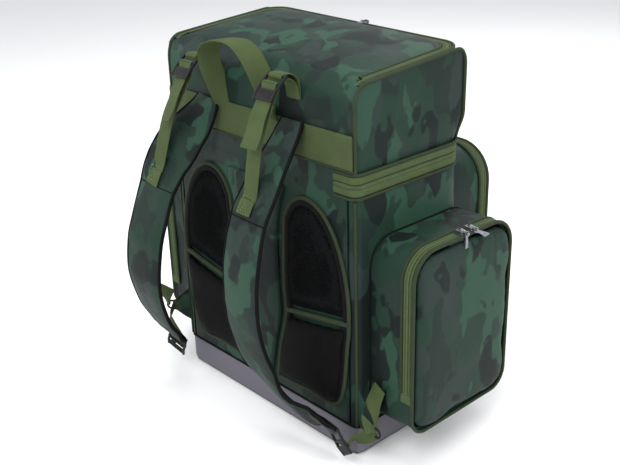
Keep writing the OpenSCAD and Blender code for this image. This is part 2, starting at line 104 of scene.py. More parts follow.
class Shader:
    """A Principled material that is built up node by node."""

    def __init__(self, name, rough=0.6, metal=0.0, sheen=0.0, specular=0.5):
        self.material = bpy.data.materials.new(name)
        self.material.use_nodes = True
        self.tree = self.material.node_tree
        self.bsdf = self.tree.nodes["Principled BSDF"]
        self.bsdf.inputs["Roughness"].default_value = rough
        self.bsdf.inputs["Metallic"].default_value = metal
        self.bsdf.inputs["Sheen Weight"].default_value = sheen
        self.bsdf.inputs["Sheen Roughness"].default_value = 0.45
        self.bsdf.inputs["Specular IOR Level"].default_value = specular
        coords = self.tree.nodes.new("ShaderNodeTexCoord")
        self.object, self.uv = coords.outputs["Object"], coords.outputs["UV"]

    def add(self, kind, inputs=None, **settings):
        node = self.tree.nodes.new("ShaderNode" + kind)
        for key, value in settings.items():
            setattr(node, key, value)
        for key, value in (inputs or {}).items():
            if isinstance(value, bpy.types.NodeSocket):
                self.tree.links.new(value, node.inputs[key])
            else:
                node.inputs[key].default_value = value
        return node

    def noise(self, scale, detail=2.0, rough=0.5, distortion=0.0, at=None, shift=(0, 0, 0), stretch=(1, 1, 1)):
        where = self.add("Mapping", {"Vector": at or self.object, "Location": shift, "Scale": stretch}).outputs[0]
        return self.add("TexNoise", {"Vector": where, "Scale": scale, "Detail": detail, "Roughness": rough,
                                     "Distortion": distortion}).outputs["Fac"]

    def step(self, value, low, high):
        """0 below low, 1 above high."""
        return self.add("MapRange", {"Value": value, "From Min": low, "From Max": high},
                        interpolation_type="SMOOTHSTEP").outputs[0]

    def mix(self, factor, a, b):
        node = self.add("Mix", {}, data_type="RGBA")
        for key, value in ((0, factor), (6, a), (7, b)):
            if isinstance(value, bpy.types.NodeSocket):
                self.tree.links.new(value, node.inputs[key])
            else:
                node.inputs[key].default_value = value
        return node.outputs[2]

    def math(self, operation, a, b=0.0, c=0.0):
        return self.add("Math", {0: a, 1: b, 2: c}, operation=operation).outputs[0]

    def darken(self, colour, factor, least):
        """Multiplies a colour by a grey between least and 1, as factor goes from 0 to 1."""
        grey = self.add("MapRange", {"Value": factor, "To Min": least}).outputs[0]
        level = self.add("CombineXYZ", {"X": grey, "Y": grey, "Z": grey}).outputs[0]
        return self.add("VectorMath", {0: colour, 1: level}, operation="MULTIPLY").outputs[0]

    def bumps(self, *layers):
        """Each layer is (height socket, strength, distance in metres); the last one is nearest the surface."""
        normal = None
        for height, strength, distance in layers:
            inputs = {"Height": height, "Strength": strength, "Distance": distance}
            if normal is not None:
                inputs["Normal"] = normal
            normal = self.add("Bump", inputs).outputs[0]
        self.tree.links.new(normal, self.bsdf.inputs["Normal"])

    def colour(self, value):
        if isinstance(value, bpy.types.NodeSocket):
            self.tree.links.new(value, self.bsdf.inputs["Base Color"])
        else:
            self.bsdf.inputs["Base Color"].default_value = value

    def roughness(self, socket):
        self.tree.links.new(socket, self.bsdf.inputs["Roughness"])


def weave_3d(s, pitch):
    """Crossed threads in object space that show on faces of any direction."""
    k = 2 * math.pi / pitch
    parts = s.add("SeparateXYZ", {0: s.object}).outputs
    waves = [s.math("SINE", s.math("MULTIPLY", p, k)) for p in parts]
    xy = s.math("MULTIPLY", waves[0], waves[2])
    return s.math("ADD", xy, s.math("MULTIPLY", waves[1], waves[2]))


def camouflage(name="camo_fabric", shift=(0.0, 0.0, 0.0)):
    """Soft-edged woodland blotches, longer than they are wide, on a plain weave with a slight coating."""
    s = Shader(name, rough=0.65, specular=0.14)
    base, green, light = srgb(25, 39, 35), srgb(27, 49, 39), srgb(39, 67, 54)
    grey, deep = srgb(35, 48, 44), srgb(17, 27, 25)
    flow = (1.0, 1.0, 0.62)

    def at(x, y, z):
        return (shift[0] + x, shift[1] + y, shift[2] + z)
    ragged = s.math("MULTIPLY", s.math("SUBTRACT", s.noise(70, 3, 0.6, at=s.object), 0.5), 0.05)

    def blotch(scale, where, low, high, detail=2.0, rough=0.5):
        field = s.math("ADD", s.noise(scale, detail, rough, 0.25, shift=at(*where), stretch=flow), ragged)
        return s.step(field, low, high)
    c = s.mix(blotch(13, (0, 0, 0), 0.475, 0.495), base, green)
    c = s.mix(blotch(15, (3.1, 1.3, 5.2), 0.545, 0.565), c, grey)
    c = s.mix(blotch(14, (7.4, 2.2, 1.7), 0.565, 0.585, 2.5), c, light)
    c = s.mix(blotch(17, (1.6, 9.3, 4.4), 0.575, 0.595), c, deep)
    c = s.mix(blotch(26, (5.6, 4.3, 8.4), 0.62, 0.64), c, green)
    c = s.darken(c, s.noise(420, 2, 0.6), 0.88)
    s.colour(c)
    s.roughness(s.add("MapRange", {"Value": s.noise(14, 3), "To Min": 0.48, "To Max": 0.64}).outputs[0])
    s.bumps((s.noise(24, 4, 0.55), 0.3, 0.004), (weave_3d(s, 0.0011), 0.25, 0.00012), (s.noise(900, 2), 0.25, 0.0002))
    return s.material


def webbing():
    """Olive woven tape. UV is in metres: U across the tape, V along it."""
    s = Shader("webbing", rough=0.78, specular=0.15)
    parts = s.add("SeparateXYZ", {0: s.uv}).outputs
    ribs = s.math("SINE", s.math("MULTIPLY", parts[0], 2 * math.pi / 0.0021))
    picks = s.math("SINE", s.math("ADD", s.math("MULTIPLY", parts[1], 2 * math.pi / 0.0016),
                                  s.math("MULTIPLY", ribs, 1.3)))
    weave = s.math("MULTIPLY", s.math("ADD", ribs, picks), 0.5)
    c = s.mix(s.noise(35, 3), srgb(64, 77, 47), srgb(81, 95, 58))
    c = s.darken(c, s.step(weave, -1, 0.8), 0.72)
    s.colour(s.darken(c, s.noise(500, 2), 0.82))
    s.bumps((s.noise(30, 2), 0.2, 0.002), (weave, 0.6, 0.0004))
    return s.material


def zip_tape(name="zip_tape", base=(66, 80, 50), light=(80, 95, 60)):
    s = Shader(name, rough=0.72, specular=0.15)
    parts = s.add("SeparateXYZ", {0: s.uv}).outputs
    picks = s.math("SINE", s.math("MULTIPLY", s.math("ADD", parts[1], parts[0]), 2 * math.pi / 0.0017))
    c = s.darken(s.mix(s.noise(60, 3), srgb(*base), srgb(*light)), s.step(picks, -1, 1), 0.78)
    s.colour(s.darken(c, s.noise(600, 2), 0.8))
    s.bumps((picks, 0.5, 0.0003), (s.noise(700, 2), 0.3, 0.0002))
    return s.material


def air_mesh():
    """Black spacer mesh: hexagon-like cells with raised walls, the hollows of the cells painted near black as painted
    shade.
    """
    s = Shader("air_mesh", rough=0.95, specular=0.03)
    cells = s.add("TexVoronoi", {"Vector": s.object, "Scale": 230.0, "Randomness": 0.25},
                  feature="DISTANCE_TO_EDGE").outputs["Distance"]
    wall = s.step(cells, 0.05, 0.28)
    # painted shade: where wall is near 1 (the cell hollows) the colour is near black, and the raised walls are a
    # lighter dark grey
    c = s.mix(wall, srgb(20, 21, 22), srgb(2, 2, 2))
    s.colour(s.darken(c, s.noise(40, 3), 0.7))
    s.bumps((s.noise(30, 3), 0.25, 0.003), (s.math("SUBTRACT", 1.0, wall), 0.9, 0.0012))
    return s.material


def plain_cloth(name, low, high, rough=0.62, pitch=0.0009):
    s = Shader(name, rough=rough, specular=0.06)
    s.colour(s.darken(s.mix(s.noise(45, 3), srgb(*low), srgb(*high)), s.noise(500, 2), 0.75))
    s.bumps((s.noise(26, 3), 0.25, 0.003), (weave_3d(s, pitch), 0.35, 0.00015))
    return s.material


def moulded_base():
    """Grained grey moulding, darker in a band at its top rim under the piping bead and in a band at its foot."""
    s = Shader("base_moulding", rough=0.6, specular=0.25)
    height = s.add("SeparateXYZ", {0: s.object}).outputs[2]
    grain = s.noise(900, 3, 0.7)
    c = s.mix(s.step(grain, 0.35, 0.65), srgb(82, 80, 88), srgb(112, 110, 120))
    c = s.darken(c, s.noise(12, 3), 0.86)
    edge = s.step(height, (BASE_TOP - 3.5) * MM, (BASE_TOP - 2.6) * MM)
    foot = s.step(height, 5.2 * MM, 4.4 * MM)
    c = s.mix(s.math("MAXIMUM", edge, foot), c, srgb(26, 26, 28))
    s.colour(c)
    s.bumps((s.noise(9, 2), 0.15, 0.004), (grain, 0.5, 0.0005))
    return s.material


def hard_plastic():
    s = Shader("buckle_plastic", rough=0.5, specular=0.16)
    s.colour(s.mix(s.noise(60, 3), srgb(18, 18, 20), srgb(31, 31, 34)))
    s.roughness(s.add("MapRange", {"Value": s.noise(150, 3), "To Min": 0.42, "To Max": 0.6}).outputs[0])
    s.bumps((s.noise(800, 2), 0.25, 0.0002),)
    return s.material


def zip_metal():
    s = Shader("zip_metal", rough=0.3, metal=0.9)
    s.colour(s.mix(s.noise(200, 3), srgb(92, 92, 98), srgb(160, 160, 166)))
    s.roughness(s.add("MapRange", {"Value": s.noise(260, 3), "To Min": 0.2, "To Max": 0.42}).outputs[0])
    s.bumps((s.noise(600, 2), 0.2, 0.0002),)
    return s.material


CAMO, WEB, TAPE, MESH = camouflage(), webbing(), zip_tape(), air_mesh()
PIPING = zip_tape("piping", (43, 53, 37), (55, 66, 45))
# painted shadow: a near-black cloth laid into the gaps between a zip's ridges
GROOVE_SHADE = plain_cloth("seam_shadow", (15, 20, 16), (24, 30, 23), 0.85)
COIL = zip_tape("zip_coil", (78, 92, 62), (98, 112, 78))
LUMBAR = plain_cloth("lumbar_cloth", (5, 5, 6), (13, 13, 14))
LINING = plain_cloth("lining", (24, 27, 27), (34, 38, 37), 0.5)
BINDING = plain_cloth("black_binding", (10, 10, 11), (22, 22, 23), 0.7)
BASE, PLASTIC, METAL = moulded_base(), hard_plastic(), zip_metal()


# ---------------------------------------------------------------- mesh helpers
def piece(name, verts, faces, materials, face_material=None, uvs=None, smooth=True):
    """A closed mesh piece in the row frame. verts are in metres, uvs are one pair for each vertex, in metres."""
    mesh = bpy.data.meshes.new(name)
    mesh.from_pydata([tuple(v) for v in verts], [], faces)
    for m in materials:
        mesh.materials.append(m)
    if face_material:
        for polygon, slot in zip(mesh.polygons, face_material):
            polygon.material_index = slot
    if uvs:
        layer = mesh.uv_layers.new(name="cloth")
        for polygon in mesh.polygons:
            for i, v in zip(polygon.loop_indices, polygon.vertices):
                layer.data[i].uv = uvs[v]
    b = bmesh.new()
    b.from_mesh(mesh)
    bmesh.ops.recalc_face_normals(b, faces=b.faces)
    b.to_mesh(mesh)
    b.free()
    for polygon in mesh.polygons:
        polygon.use_smooth = smooth
    o = bpy.data.objects.new(name, mesh)
    bpy.context.scene.collection.objects.link(o)
    if smooth:
        mesh.set_sharp_from_angle(angle=math.radians(50))
    return o


LOAD_RISE = 12.0              # how much higher the top compartment's left end stands
LEANING = ("top_cover", "top_box_frame", "top_box_end", "top_box_piping", "flap_zip_lower", "flap_zip_upper")


def load_lean(x, y, z):
    """How the load shifts the top compartment's cloth, mm: its left end stands higher and its ends belly out."""
    t = ease(clamp((z - 496) / 60))
    left = clamp((HX - x) / (2 * HX))
    end = clamp((-x - 215) / 60)
    belly = math.exp(-((z - 530) / 34) ** 2)
    front = clamp((x - 190) / 80) * clamp((y - 40) / 60)
    return Vector((-4.5 * belly * end, 5.0 * belly * front, LOAD_RISE * left * t))


def settle(o, body, replaces=(), blend=None):
    """Parents a finished piece to its body's empty and hides the CAD parts it stands for. blend is (body_a, body_b,
    start, end); with it the piece is only baked in place, riding on neither body.
    """
    if o.name.startswith(LEANING):
        for v in o.data.vertices:
            v.co += load_lean(*(v.co / MM)) * MM
    if blend:
        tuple(blend[2])
        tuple(blend[3])
        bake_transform(o)
    else:
        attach(o, body)
    if replaces:
        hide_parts(*replaces)


def sweep(name, stations, profile, materials, side_material=None, closed=False):
    """Sweeps a closed profile [(a, b) in mm] along stations [(point, A, B)]; side_material gives a slot per side."""
    n, rows = len(profile), len(stations)
    verts = [p + (A * a + B * b) * MM for p, A, B in stations for a, b in profile]
    along = [0.0]
    for (p, _, _), (q, _, _) in zip(stations, stations[1:]):
        along.append(along[-1] + (q - p).length)
    around = [0.0]
    for (a, b), (c, d) in zip(profile, profile[1:]):
        around.append(around[-1] + math.hypot(c - a, d - b) * MM)
    uvs = [(around[k], along[r]) for r in range(rows) for k in range(n)]
    faces, slots = [], []
    for r in range(rows if closed else rows - 1):
        s = (r + 1) % rows
        for k in range(n):
            j = (k + 1) % n
            faces.append((r * n + k, r * n + j, s * n + j, s * n + k))
            slots.append(side_material[k] if side_material else 0)
    if not closed:
        faces += [tuple(range(n))[::-1], tuple((rows - 1) * n + k for k in range(n))]
        slots += [slots[0], slots[0]]
    return piece(name, verts, faces, materials, slots, uvs)


def ring(radius, n=10, squash=1.0):
    return [(radius * math.cos(2 * math.pi * k / n), radius * squash * math.sin(2 * math.pi * k / n))
            for k in range(n)]


def spline(points, step):
    """A smooth curve through points (mm), as points about step mm apart."""
    pts = [Vector(p) for p in points]
    ends = [2 * pts[0] - pts[1]] + pts + [2 * pts[-1] - pts[-2]]
    out = []
    for i in range(1, len(ends) - 2):
        a, b, c, d = ends[i - 1:i + 3]
        count = max(2, round((c - b).length / step))
        for k in range(count):
            t = k / count
            out.append(0.5 * (2 * b + (c - a) * t + (2 * a - 5 * b + 4 * c - d) * t ** 2
                              + (3 * b - a - 3 * c + d) * t ** 3))
    return out + [pts[-1]]


def tangents(line):
    """The direction of a line at each of its points."""
    last = len(line) - 1
    return [(line[min(i + 1, last)] - line[max(i - 1, 0)]).normalized() for i in range(last + 1)]


def band_stations(points, step, twist=None):
    """Stations along a route in mm; A runs across the band, kept as near to the X axis as it can be."""
    line = spline(points, step)
    out = []
    for i, (p, t) in enumerate(zip(line, tangents(line))):
        across = (Vector((1, 0, 0)) - t * t.x).normalized()
        if twist:
            across = Matrix.Rotation(twist(i / (len(line) - 1)), 3, t) @ across
        out.append((p * MM, across, across.cross(t)))
    return out


def tape_profile(width, thick, n=8):
    """A flat tape: slightly rounded edges, flat faces."""
    h, t = width / 2, thick / 2
    xs = [-h + (width * k / n) for k in range(n + 1)]
    low = [(x, -t * (0.45 if k in (0, n) else 1)) for k, x in enumerate(xs)]
    high = [(x, t * (0.45 if k in (0, n) else 1)) for k, x in reversed(list(enumerate(xs)))]
    return low + high


def outline(x0, y0, x1, y1, radii, step=12, turn=9):
    """A rounded rectangle, anticlockwise from the middle of its low-y side: [(x, y, nx, ny)], n pointing out.
    radii are for the corners (x1, y0), (x1, y1), (x0, y1), (x0, y0)."""
    corners = [(x1, y0, -1, 1), (x1, y1, -1, -1), (x0, y1, 1, -1), (x0, y0, 1, 1)]
    out = []
    previous = ((x0 + x1) / 2, y0)
    normal = (0, -1)
    for k, ((cx, cy, sx, sy), r) in enumerate(zip(corners, radii)):
        mx, my = cx + sx * r, cy + sy * r
        start = -90 + 90 * k
        first = (mx + r * math.cos(math.radians(start)), my + r * math.sin(math.radians(start)))
        out += straight(previous, first, normal, step)
        for i in range(turn):
            a = math.radians(start + 90 * i / turn)
            out.append((mx + r * math.cos(a), my + r * math.sin(a), math.cos(a), math.sin(a)))
        a = math.radians(start + 90)
        previous, normal = (mx + r * math.cos(a), my + r * math.sin(a)), (math.cos(a), math.sin(a))
    out += straight(previous, ((x0 + x1) / 2, y0), normal, step)
    return out


def straight(a, b, normal, step):
    count = max(1, round(math.dist(a, b) / step))
    return [(a[0] + (b[0] - a[0]) * k / count, a[1] + (b[1] - a[1]) * k / count, *normal) for k in range(count)]


def cut_path(points, keep):
    """The run of an outline that keep(x, y) accepts, as one open path."""
    flags = [keep(p[0], p[1]) for p in points]
    if all(flags):
        return points
    start = next(i for i in range(len(points)) if flags[i] and not flags[i - 1])
    run = []
    for k in range(len(points)):
        p = points[(start + k) % len(points)]
        if not keep(p[0], p[1]):
            break
        run.append(p)
    return run


def ripple(p, size, depth, seed=0.0):
    """A smooth wrinkle height in mm at a point in mm."""
    return depth * noise.fractal(Vector(p) / size + Vector((seed, seed * 0.7, seed * 1.3)), 1.0, 2.0, 2)


def puff(o, pressure=4.0, cap=9.0, voxel=5.0, frames=20):
    """Blows a closed piece up as padded fabric, never moving a point by more than cap mm."""
    remesh = o.modifiers.new("remesh", "REMESH")
    remesh.mode, remesh.voxel_size = "VOXEL", voxel * MM
    apply_modifiers(o)
    cloth = o.modifiers.new("cloth", "CLOTH")
    cloth.settings.use_pressure = True
    cloth.settings.uniform_pressure_force = pressure
    cloth.settings.effector_weights.gravity = 0
    cloth.point_cache.frame_start, cloth.point_cache.frame_end = 1, frames
    rest = [v.co.copy() for v in o.data.vertices]
    for f in range(1, frames + 1):
        bpy.context.scene.frame_set(f)
    moved = [v.co.copy() for v in o.evaluated_get(bpy.context.evaluated_depsgraph_get()).data.vertices]
    o.modifiers.remove(cloth)
    bpy.context.scene.frame_set(1)
    for v, a, b in zip(o.data.vertices, rest, moved):
        d = b - a
        v.co = a + d * min(1.0, cap * MM / max(d.length, 1e-9))
    o.modifiers.new("fine", "SUBSURF").levels = 1
    apply_modifiers(o)
    for polygon in o.data.polygons:
        polygon.use_smooth = True


def swell(o, height):
    """A quick stand-in for the simulation: a smooth push along the normals."""
    for v in o.data.vertices:
        v.co += v.normal * height * MM * 0.5


def apply_modifiers(o):
    mesh = bpy.data.meshes.new_from_object(o.evaluated_get(bpy.context.evaluated_depsgraph_get()))
    old = o.data
    o.modifiers.clear()
    o.data = mesh
    bpy.data.meshes.remove(old)


def smooth(o, angle=50):
    for polygon in o.data.polygons:
        polygon.use_smooth = True
    o.data.set_sharp_from_angle(angle=math.radians(angle))
    return o


def merge(name, objects):
    """Joins pieces into the first one, which takes the name."""
    first = objects[0]
    if len(objects) > 1:
        with bpy.context.temp_override(active_object=first, object=first, selected_objects=objects,
                                       selected_editable_objects=objects):
            bpy.ops.object.join()
    first.name = name
    return first


def rumple(o, size, depth, seed):
    """Moves each point along its normal by a smooth wrinkle."""
    for v, n in [(v, v.normal.copy()) for v in o.data.vertices]:
        v.co += n * ripple(v.co / MM, size, depth, seed) * MM


def shell(name, verts, faces, thick, materials, centre, smooth_angle=50):
    """An open surface given a thickness inwards, away from its outer face; materials are (outside, inside)."""
    o = piece(name, [V(*v) for v in verts], faces, materials)
    middle = V(*centre)
    if sum((p.center - middle).dot(p.normal) * p.area for p in o.data.polygons) < 0:
        o.data.flip_normals()
    cloth = o.modifiers.new("thickness", "SOLIDIFY")
    cloth.thickness, cloth.offset = thick * MM, -1
    cloth.material_offset = 1
    apply_modifiers(o)
    return smooth(o, smooth_angle)


def grid_faces(rows, columns, closed=False):
    """Quads between rows of points, each row columns long; closed joins the last column to the first."""
    return [(r * columns + c, r * columns + (c + 1) % columns, (r + 1) * columns + (c + 1) % columns,
             (r + 1) * columns + c) for r in range(rows - 1) for c in range(columns if closed else columns - 1)]


def crowned(name, loop, place, height, base, materials, rings=10, wrinkle=0.0, seed=0.0, middle=None):
    """A closed pad over an outline loop [(u, v)]: base thick at its edge, height thick at its middle.
    place(u, v, h) gives the point in mm that stands h out from the pad's back."""
    cu, cv = middle or (sum(p[0] for p in loop) / len(loop), sum(p[1] for p in loop) / len(loop))
    spread = [1.0, 0.988, 0.965] + [0.93 * (1 - k / rings) for k in range(rings)]
    low = {0: 0.35, 1: 0.75, 2: 0.95}
    verts = []
    for k, t in enumerate(spread):
        for u, v in loop:
            u, v = cu + (u - cu) * t, cv + (v - cv) * t
            h = (base + (height - base) * (1 - t ** 4)) * low.get(k, 1)
            verts.append(place(u, v, h + ripple((u, v, seed * 50), 55, wrinkle * (1 - t ** 6), seed)))
    n, front = len(loop), len(spread)
    verts.append(place(cu, cv, height))
    for t in spread:
        verts += [place(cu + (u - cu) * t, cv + (v - cv) * t, 0) for u, v in loop]
    verts.append(place(cu, cv, 0))
    back = front * n + 1
    faces = grid_faces(front, n, True)
    faces += [((front - 1) * n + k, (front - 1) * n + (k + 1) % n, front * n) for k in range(n)]
    faces += [tuple(back + i for i in reversed(f)) for f in grid_faces(front, n, True)]
    faces += [(back + (front - 1) * n + (k + 1) % n, back + (front - 1) * n + k, back + front * n) for k in range(n)]
    faces += [(k, back + k, back + (k + 1) % n, (k + 1) % n) for k in range(n)]
    return piece(name, [V(*v) for v in verts], faces, materials)


class Thread:
    """Collects rows of stitches into one piece."""

    def __init__(self):
        self.verts, self.faces = [], []

    def row(self, a, b, normal, pitch=4.4, length=3.0, width=0.75):
        a, b, normal = Vector(a), Vector(b), Vector(normal).normalized()
        t = (b - a).normalized()
        side = t.cross(normal) * width / 2
        count = max(1, int((b - a).length / pitch))
        step = (b - a).length / count
        for k in range(count):
            p = a + t * (step * (k + 0.5))
            start = len(self.verts)
            points = [p - t * length / 2 - normal * 0.3, p - t * length / 4 + side, p + normal * 0.45 - t * length / 4,
                      p - t * length / 4 - side, p + t * length / 4 + side, p + normal * 0.45 + t * length / 4,
                      p + t * length / 4 - side, p + t * length / 2 - normal * 0.3]
            self.verts += [q * MM for q in points]
            for f in ((0, 1, 2), (0, 2, 3), (0, 3, 1), (1, 4, 5, 2), (2, 5, 6, 3), (3, 6, 4, 1), (7, 5, 4), (7, 6, 5),
                      (7, 4, 6)):
                self.faces.append(tuple(start + i for i in f))

    def make(self, name, material):
        return piece(name, self.verts, self.faces, [material])


class Hard:
    """Collects bevelled blocks, rods and plates, in mm, into one hard piece."""

    def __init__(self):
        self.b = bmesh.new()

    def take(self, part, matrix):
        mesh = bpy.data.meshes.new("part")
        part.to_mesh(mesh)
        part.free()
        mesh.transform(matrix)
        self.b.from_mesh(mesh)
        bpy.data.meshes.remove(mesh)

    def block(self, centre, size, r=0.8, turn=None):
        part = bmesh.new()
        bmesh.ops.create_cube(part, size=1)
        bmesh.ops.scale(part, vec=size, verts=part.verts)
        bmesh.ops.bevel(part, geom=part.edges[:], offset=min(r, min(size) * 0.45), segments=3, profile=0.6,
                        affect="EDGES")
        self.take(part, Matrix.Translation(centre) @ (turn or Matrix.Identity(4)))

    def rod(self, a, b, r, segments=16):
        a, b = Vector(a), Vector(b)
        part = bmesh.new()
        bmesh.ops.create_cone(part, cap_ends=True, segments=segments, radius1=r, radius2=r, depth=(b - a).length)
        rims = [e for e in part.edges if any(len(f.verts) > 4 for f in e.link_faces)]
        bmesh.ops.bevel(part, geom=rims, offset=r * 0.3, segments=2, profile=0.5, affect="EDGES")
        self.take(part, Matrix.Translation((a + b) / 2) @ (b - a).to_track_quat("Z", "Y").to_matrix().to_4x4())

    def tube(self, points, r, segments=10, closed=False):
        """A round bar bent along points."""
        line = [Vector(p) for p in points]
        n = len(line)
        part = bmesh.new()
        rings, last = [], None
        for i, p in enumerate(line):
            before = line[i - 1] if closed else line[max(i - 1, 0)]
            after = line[(i + 1) % n] if closed else line[min(i + 1, n - 1)]
            t = (after - before).normalized()
            side = last - t * last.dot(t) if last is not None else t.orthogonal()
            side.normalize()
            last = side
            up = t.cross(side)
            rings.append([part.verts.new(p + (side * math.cos(q) + up * math.sin(q)) * r)
                          for q in (2 * math.pi * k / segments for k in range(segments))])
        for i in range(n if closed else n - 1):
            a, b = rings[i], rings[(i + 1) % n]
            for k in range(segments):
                part.faces.new((a[k], a[(k + 1) % segments], b[(k + 1) % segments], b[k]))
        if not closed:
            part.faces.new(rings[0][::-1])
            part.faces.new(rings[-1])
        self.take(part, Matrix.Identity(4))

    def plate(self, outline_points, thick, r=0.5, hole=None, turn=None):
        """A flat plate in its own XY plane, centred on z = 0; hole is an inner outline with as many points."""
        part = bmesh.new()
        n = len(outline_points)
        layers = [(-thick / 2, r), (-thick / 2 + r, 0), (thick / 2 - r, 0), (thick / 2, r)]

        def rings_at(points, way):
            """The outline at each layer; way is -1 where the bevel draws it in, 1 where it opens it out."""
            cx, cy = sum(p[0] for p in points) / n, sum(p[1] for p in points) / n
            made = []
            for z, inset in layers:
                made.append([])
                for x, y in points:
                    d = Vector((x - cx, y - cy))
                    d = d * (1 + way * inset / max(d.length, 1e-6))
                    made[-1].append(part.verts.new((d.x + cx, d.y + cy, z)))
            return made
        outer = rings_at(outline_points, -1)
        for a, b in zip(outer, outer[1:]):
            for k in range(n):
                part.faces.new((a[k], a[(k + 1) % n], b[(k + 1) % n], b[k]))
        if hole:
            inner = rings_at(hole, 1)
            for a, b in zip(inner, inner[1:]):
                for k in range(n):
                    part.faces.new((a[(k + 1) % n], a[k], b[k], b[(k + 1) % n]))
            for a, b in ((inner[0], outer[0]), (outer[-1], inner[-1])):
                for k in range(n):
                    part.faces.new((a[k], a[(k + 1) % n], b[(k + 1) % n], b[k]))
        else:
            part.faces.new(outer[0][::-1])
            part.faces.new(outer[-1])
        self.take(part, turn or Matrix.Identity(4))

    def finish(self, name, material, matrix=None, angle=35):
        """matrix takes the piece's own mm frame into the row frame, in mm."""
        bmesh.ops.transform(self.b, matrix=Matrix.Scale(MM, 4) @ (matrix or Matrix.Identity(4)), verts=self.b.verts)
        bmesh.ops.recalc_face_normals(self.b, faces=self.b.faces)
        mesh = bpy.data.meshes.new(name)
        self.b.to_mesh(mesh)
        self.b.free()
        mesh.materials.append(material)
        o = bpy.data.objects.new(name, mesh)
        bpy.context.scene.collection.objects.link(o)
        return smooth(o, angle)


# ---------------------------------------------------------------- main compartment
BODY = outline(-HX, -HY, HX, HY, (BACK_R, FRONT_R, FRONT_R, BACK_R), step=9)
BODY_CLOTH = (CAMO, LINING)
INSIDE = (0, 0, 230)          # a point inside the pack; a wall's thickness goes towards it


def loft(name, levels, materials):
    """A closed tub: levels are (z, inset) from the outside foot, up and over the rim, to the inside floor."""
    verts, n = [], None
    for z, inset in levels:
        path = outline(-HX + inset, -HY + inset, HX - inset, HY - inset,
                       tuple(max(r - inset, 2) for r in (BACK_R, FRONT_R, FRONT_R, BACK_R)), step=14)
        n = n or len(path)
        path = resample(path, n)
        verts += [(x, y, z) for x, y in path]
    faces = grid_faces(len(levels), n, True)
    faces += [tuple(range(n))[::-1], tuple((len(levels) - 1) * n + k for k in range(n))]
    return piece(name, [V(*v) for v in verts], faces, materials)


def resample(path, count):
    """count points spread evenly round a closed outline, from its first point."""
    pts = [Vector((p[0], p[1])) for p in path] + [Vector((path[0][0], path[0][1]))]
    lengths = [0.0]
    for a, b in zip(pts, pts[1:]):
        lengths.append(lengths[-1] + (b - a).length)
    out, i = [], 0
    for k in range(count):
        due = lengths[-1] * k / count
        while lengths[i + 1] < due:
            i += 1
        t = (due - lengths[i]) / max(lengths[i + 1] - lengths[i], 1e-9)
        out.append(tuple(pts[i].lerp(pts[i + 1], t)))
    return out


def base():
    tub = loft("base_moulding", [(0, 5), (0.7, 3.6), (2.5, 1.6), (5, 0.5), (8, 0), (43.5, 0), (46, 0.4), (47.6, 1.4),
                                 (48, 2.6), (47.6, 3.8), (44, 4), (8, 4), (6, 5)], [BASE])
    settle(tub, "pack", ["base_tub"])
    round_path = [(V(x, y, BASE_TOP - 0.6), UP, Vector((nx, ny, 0))) for x, y, nx, ny in BODY]
    bead = sweep("base_piping_bead", round_path, [(a, b - 0.2) for a, b in ring(2.0, 10)], [BINDING], closed=True)
    settle(bead, "pack", ["base_piping"])
    for node in ("base_board", "back_stiffener"):
        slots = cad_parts[node].data.materials
        slots.clear()
        slots.append(LINING)


def hump(t, power=4):
    """0 at the seams t = 0 and t = 1, near 1 between them."""
    return 1 - abs(2 * t - 1) ** power


def wall(name, path, z0, z1, bulge, wrinkle=1.1, seed=0.0, rows=34, thick=4):
    """A padded wall that stands along a plan path [(x, y, nx, ny)] from z0 to z1."""
    verts, n = [], len(path)
    for r in range(rows + 1):
        v = r / rows
        z = z0 + (z1 - z0) * v
        for k, (x, y, nx, ny) in enumerate(path):
            out = bulge * hump(v) * hump(k / (n - 1), 8)
            out += ripple((x, y, z), 70, wrinkle, seed) * hump(v, 10)
            out += ripple((x, y, z * 0.45), 21, wrinkle * 0.35, seed + 3) * hump(v, 10)
            verts.append((x + nx * out, y + ny * out, z))
    return shell(name, verts, grid_faces(rows + 1, n), thick, BODY_CLOTH, INSIDE)


PANEL_X = 184                 # half width of the separate harness panel
CORNER_BEAD = 13.4            # a corner's piping lies this far from the centre of its rounding
DIAGONAL = 0.785              # at about 45 degrees, in radians


def back_columns(half, count):
    """A plan path across the harness face, half wide to each side of the middle."""
    return [(-half + 2 * half * k / count, -HY, 0, -1) for k in range(count + 1)]


def main_walls():
    back_y = -HY + 1
    path = cut_path(BODY, lambda x, y: not (abs(x) < PANEL_X and y < back_y))
    o = wall("main_wrap_cloth", path, BASE_TOP - 1, ZIP_LOW + 1, 1.6, seed=1.0)
    settle(o, "pack", ["main_wrap"])
    o = wall("harness_panel", back_columns(PANEL_X, 44), BASE_TOP - 1, HINGE_Z, 0.6, 0.7, seed=2.0)
    settle(o, "pack", ["back_panel"])
    # the harness panel runs on between the zip's ends, and its fold is the hinge
    o = wall("hinge_fabric", back_columns(ZIP_END_X, 40), HINGE_Z, BAND0[2] + 3, -1.2, 0.5, seed=2.0, rows=14,
             thick=2.5)
    settle(o, "pack", blend=("pack", "top_compartment", V(0, -HY, SEAM - 8), V(0, -HY, SEAM + 8)))
    x, y = HX - BACK_R + CORNER_BEAD * math.cos(DIAGONAL), -HY + BACK_R - CORNER_BEAD * math.sin(DIAGONAL)
    for s, side in ((-1, "left"), (1, "right")):
        path = [(V(s * x, y, z), Vector((1, 0, 0)), Vector((0, 1, 0)))
                for z in range(int(BASE_TOP) + 1, int(ZIP_LOW) + 2, 6)]
        bead = sweep(f"corner_piping_{side}", path, ring(2.3, 10), [PIPING])
        settle(bead, "pack", ["back_piping"] if s > 0 else ())


# ---------------------------------------------------------------- zips
ZIP_OUT = 1.2                 # a zip's tape stands this far out, mm
COIL_OUT = 0.7                # and its coil this far


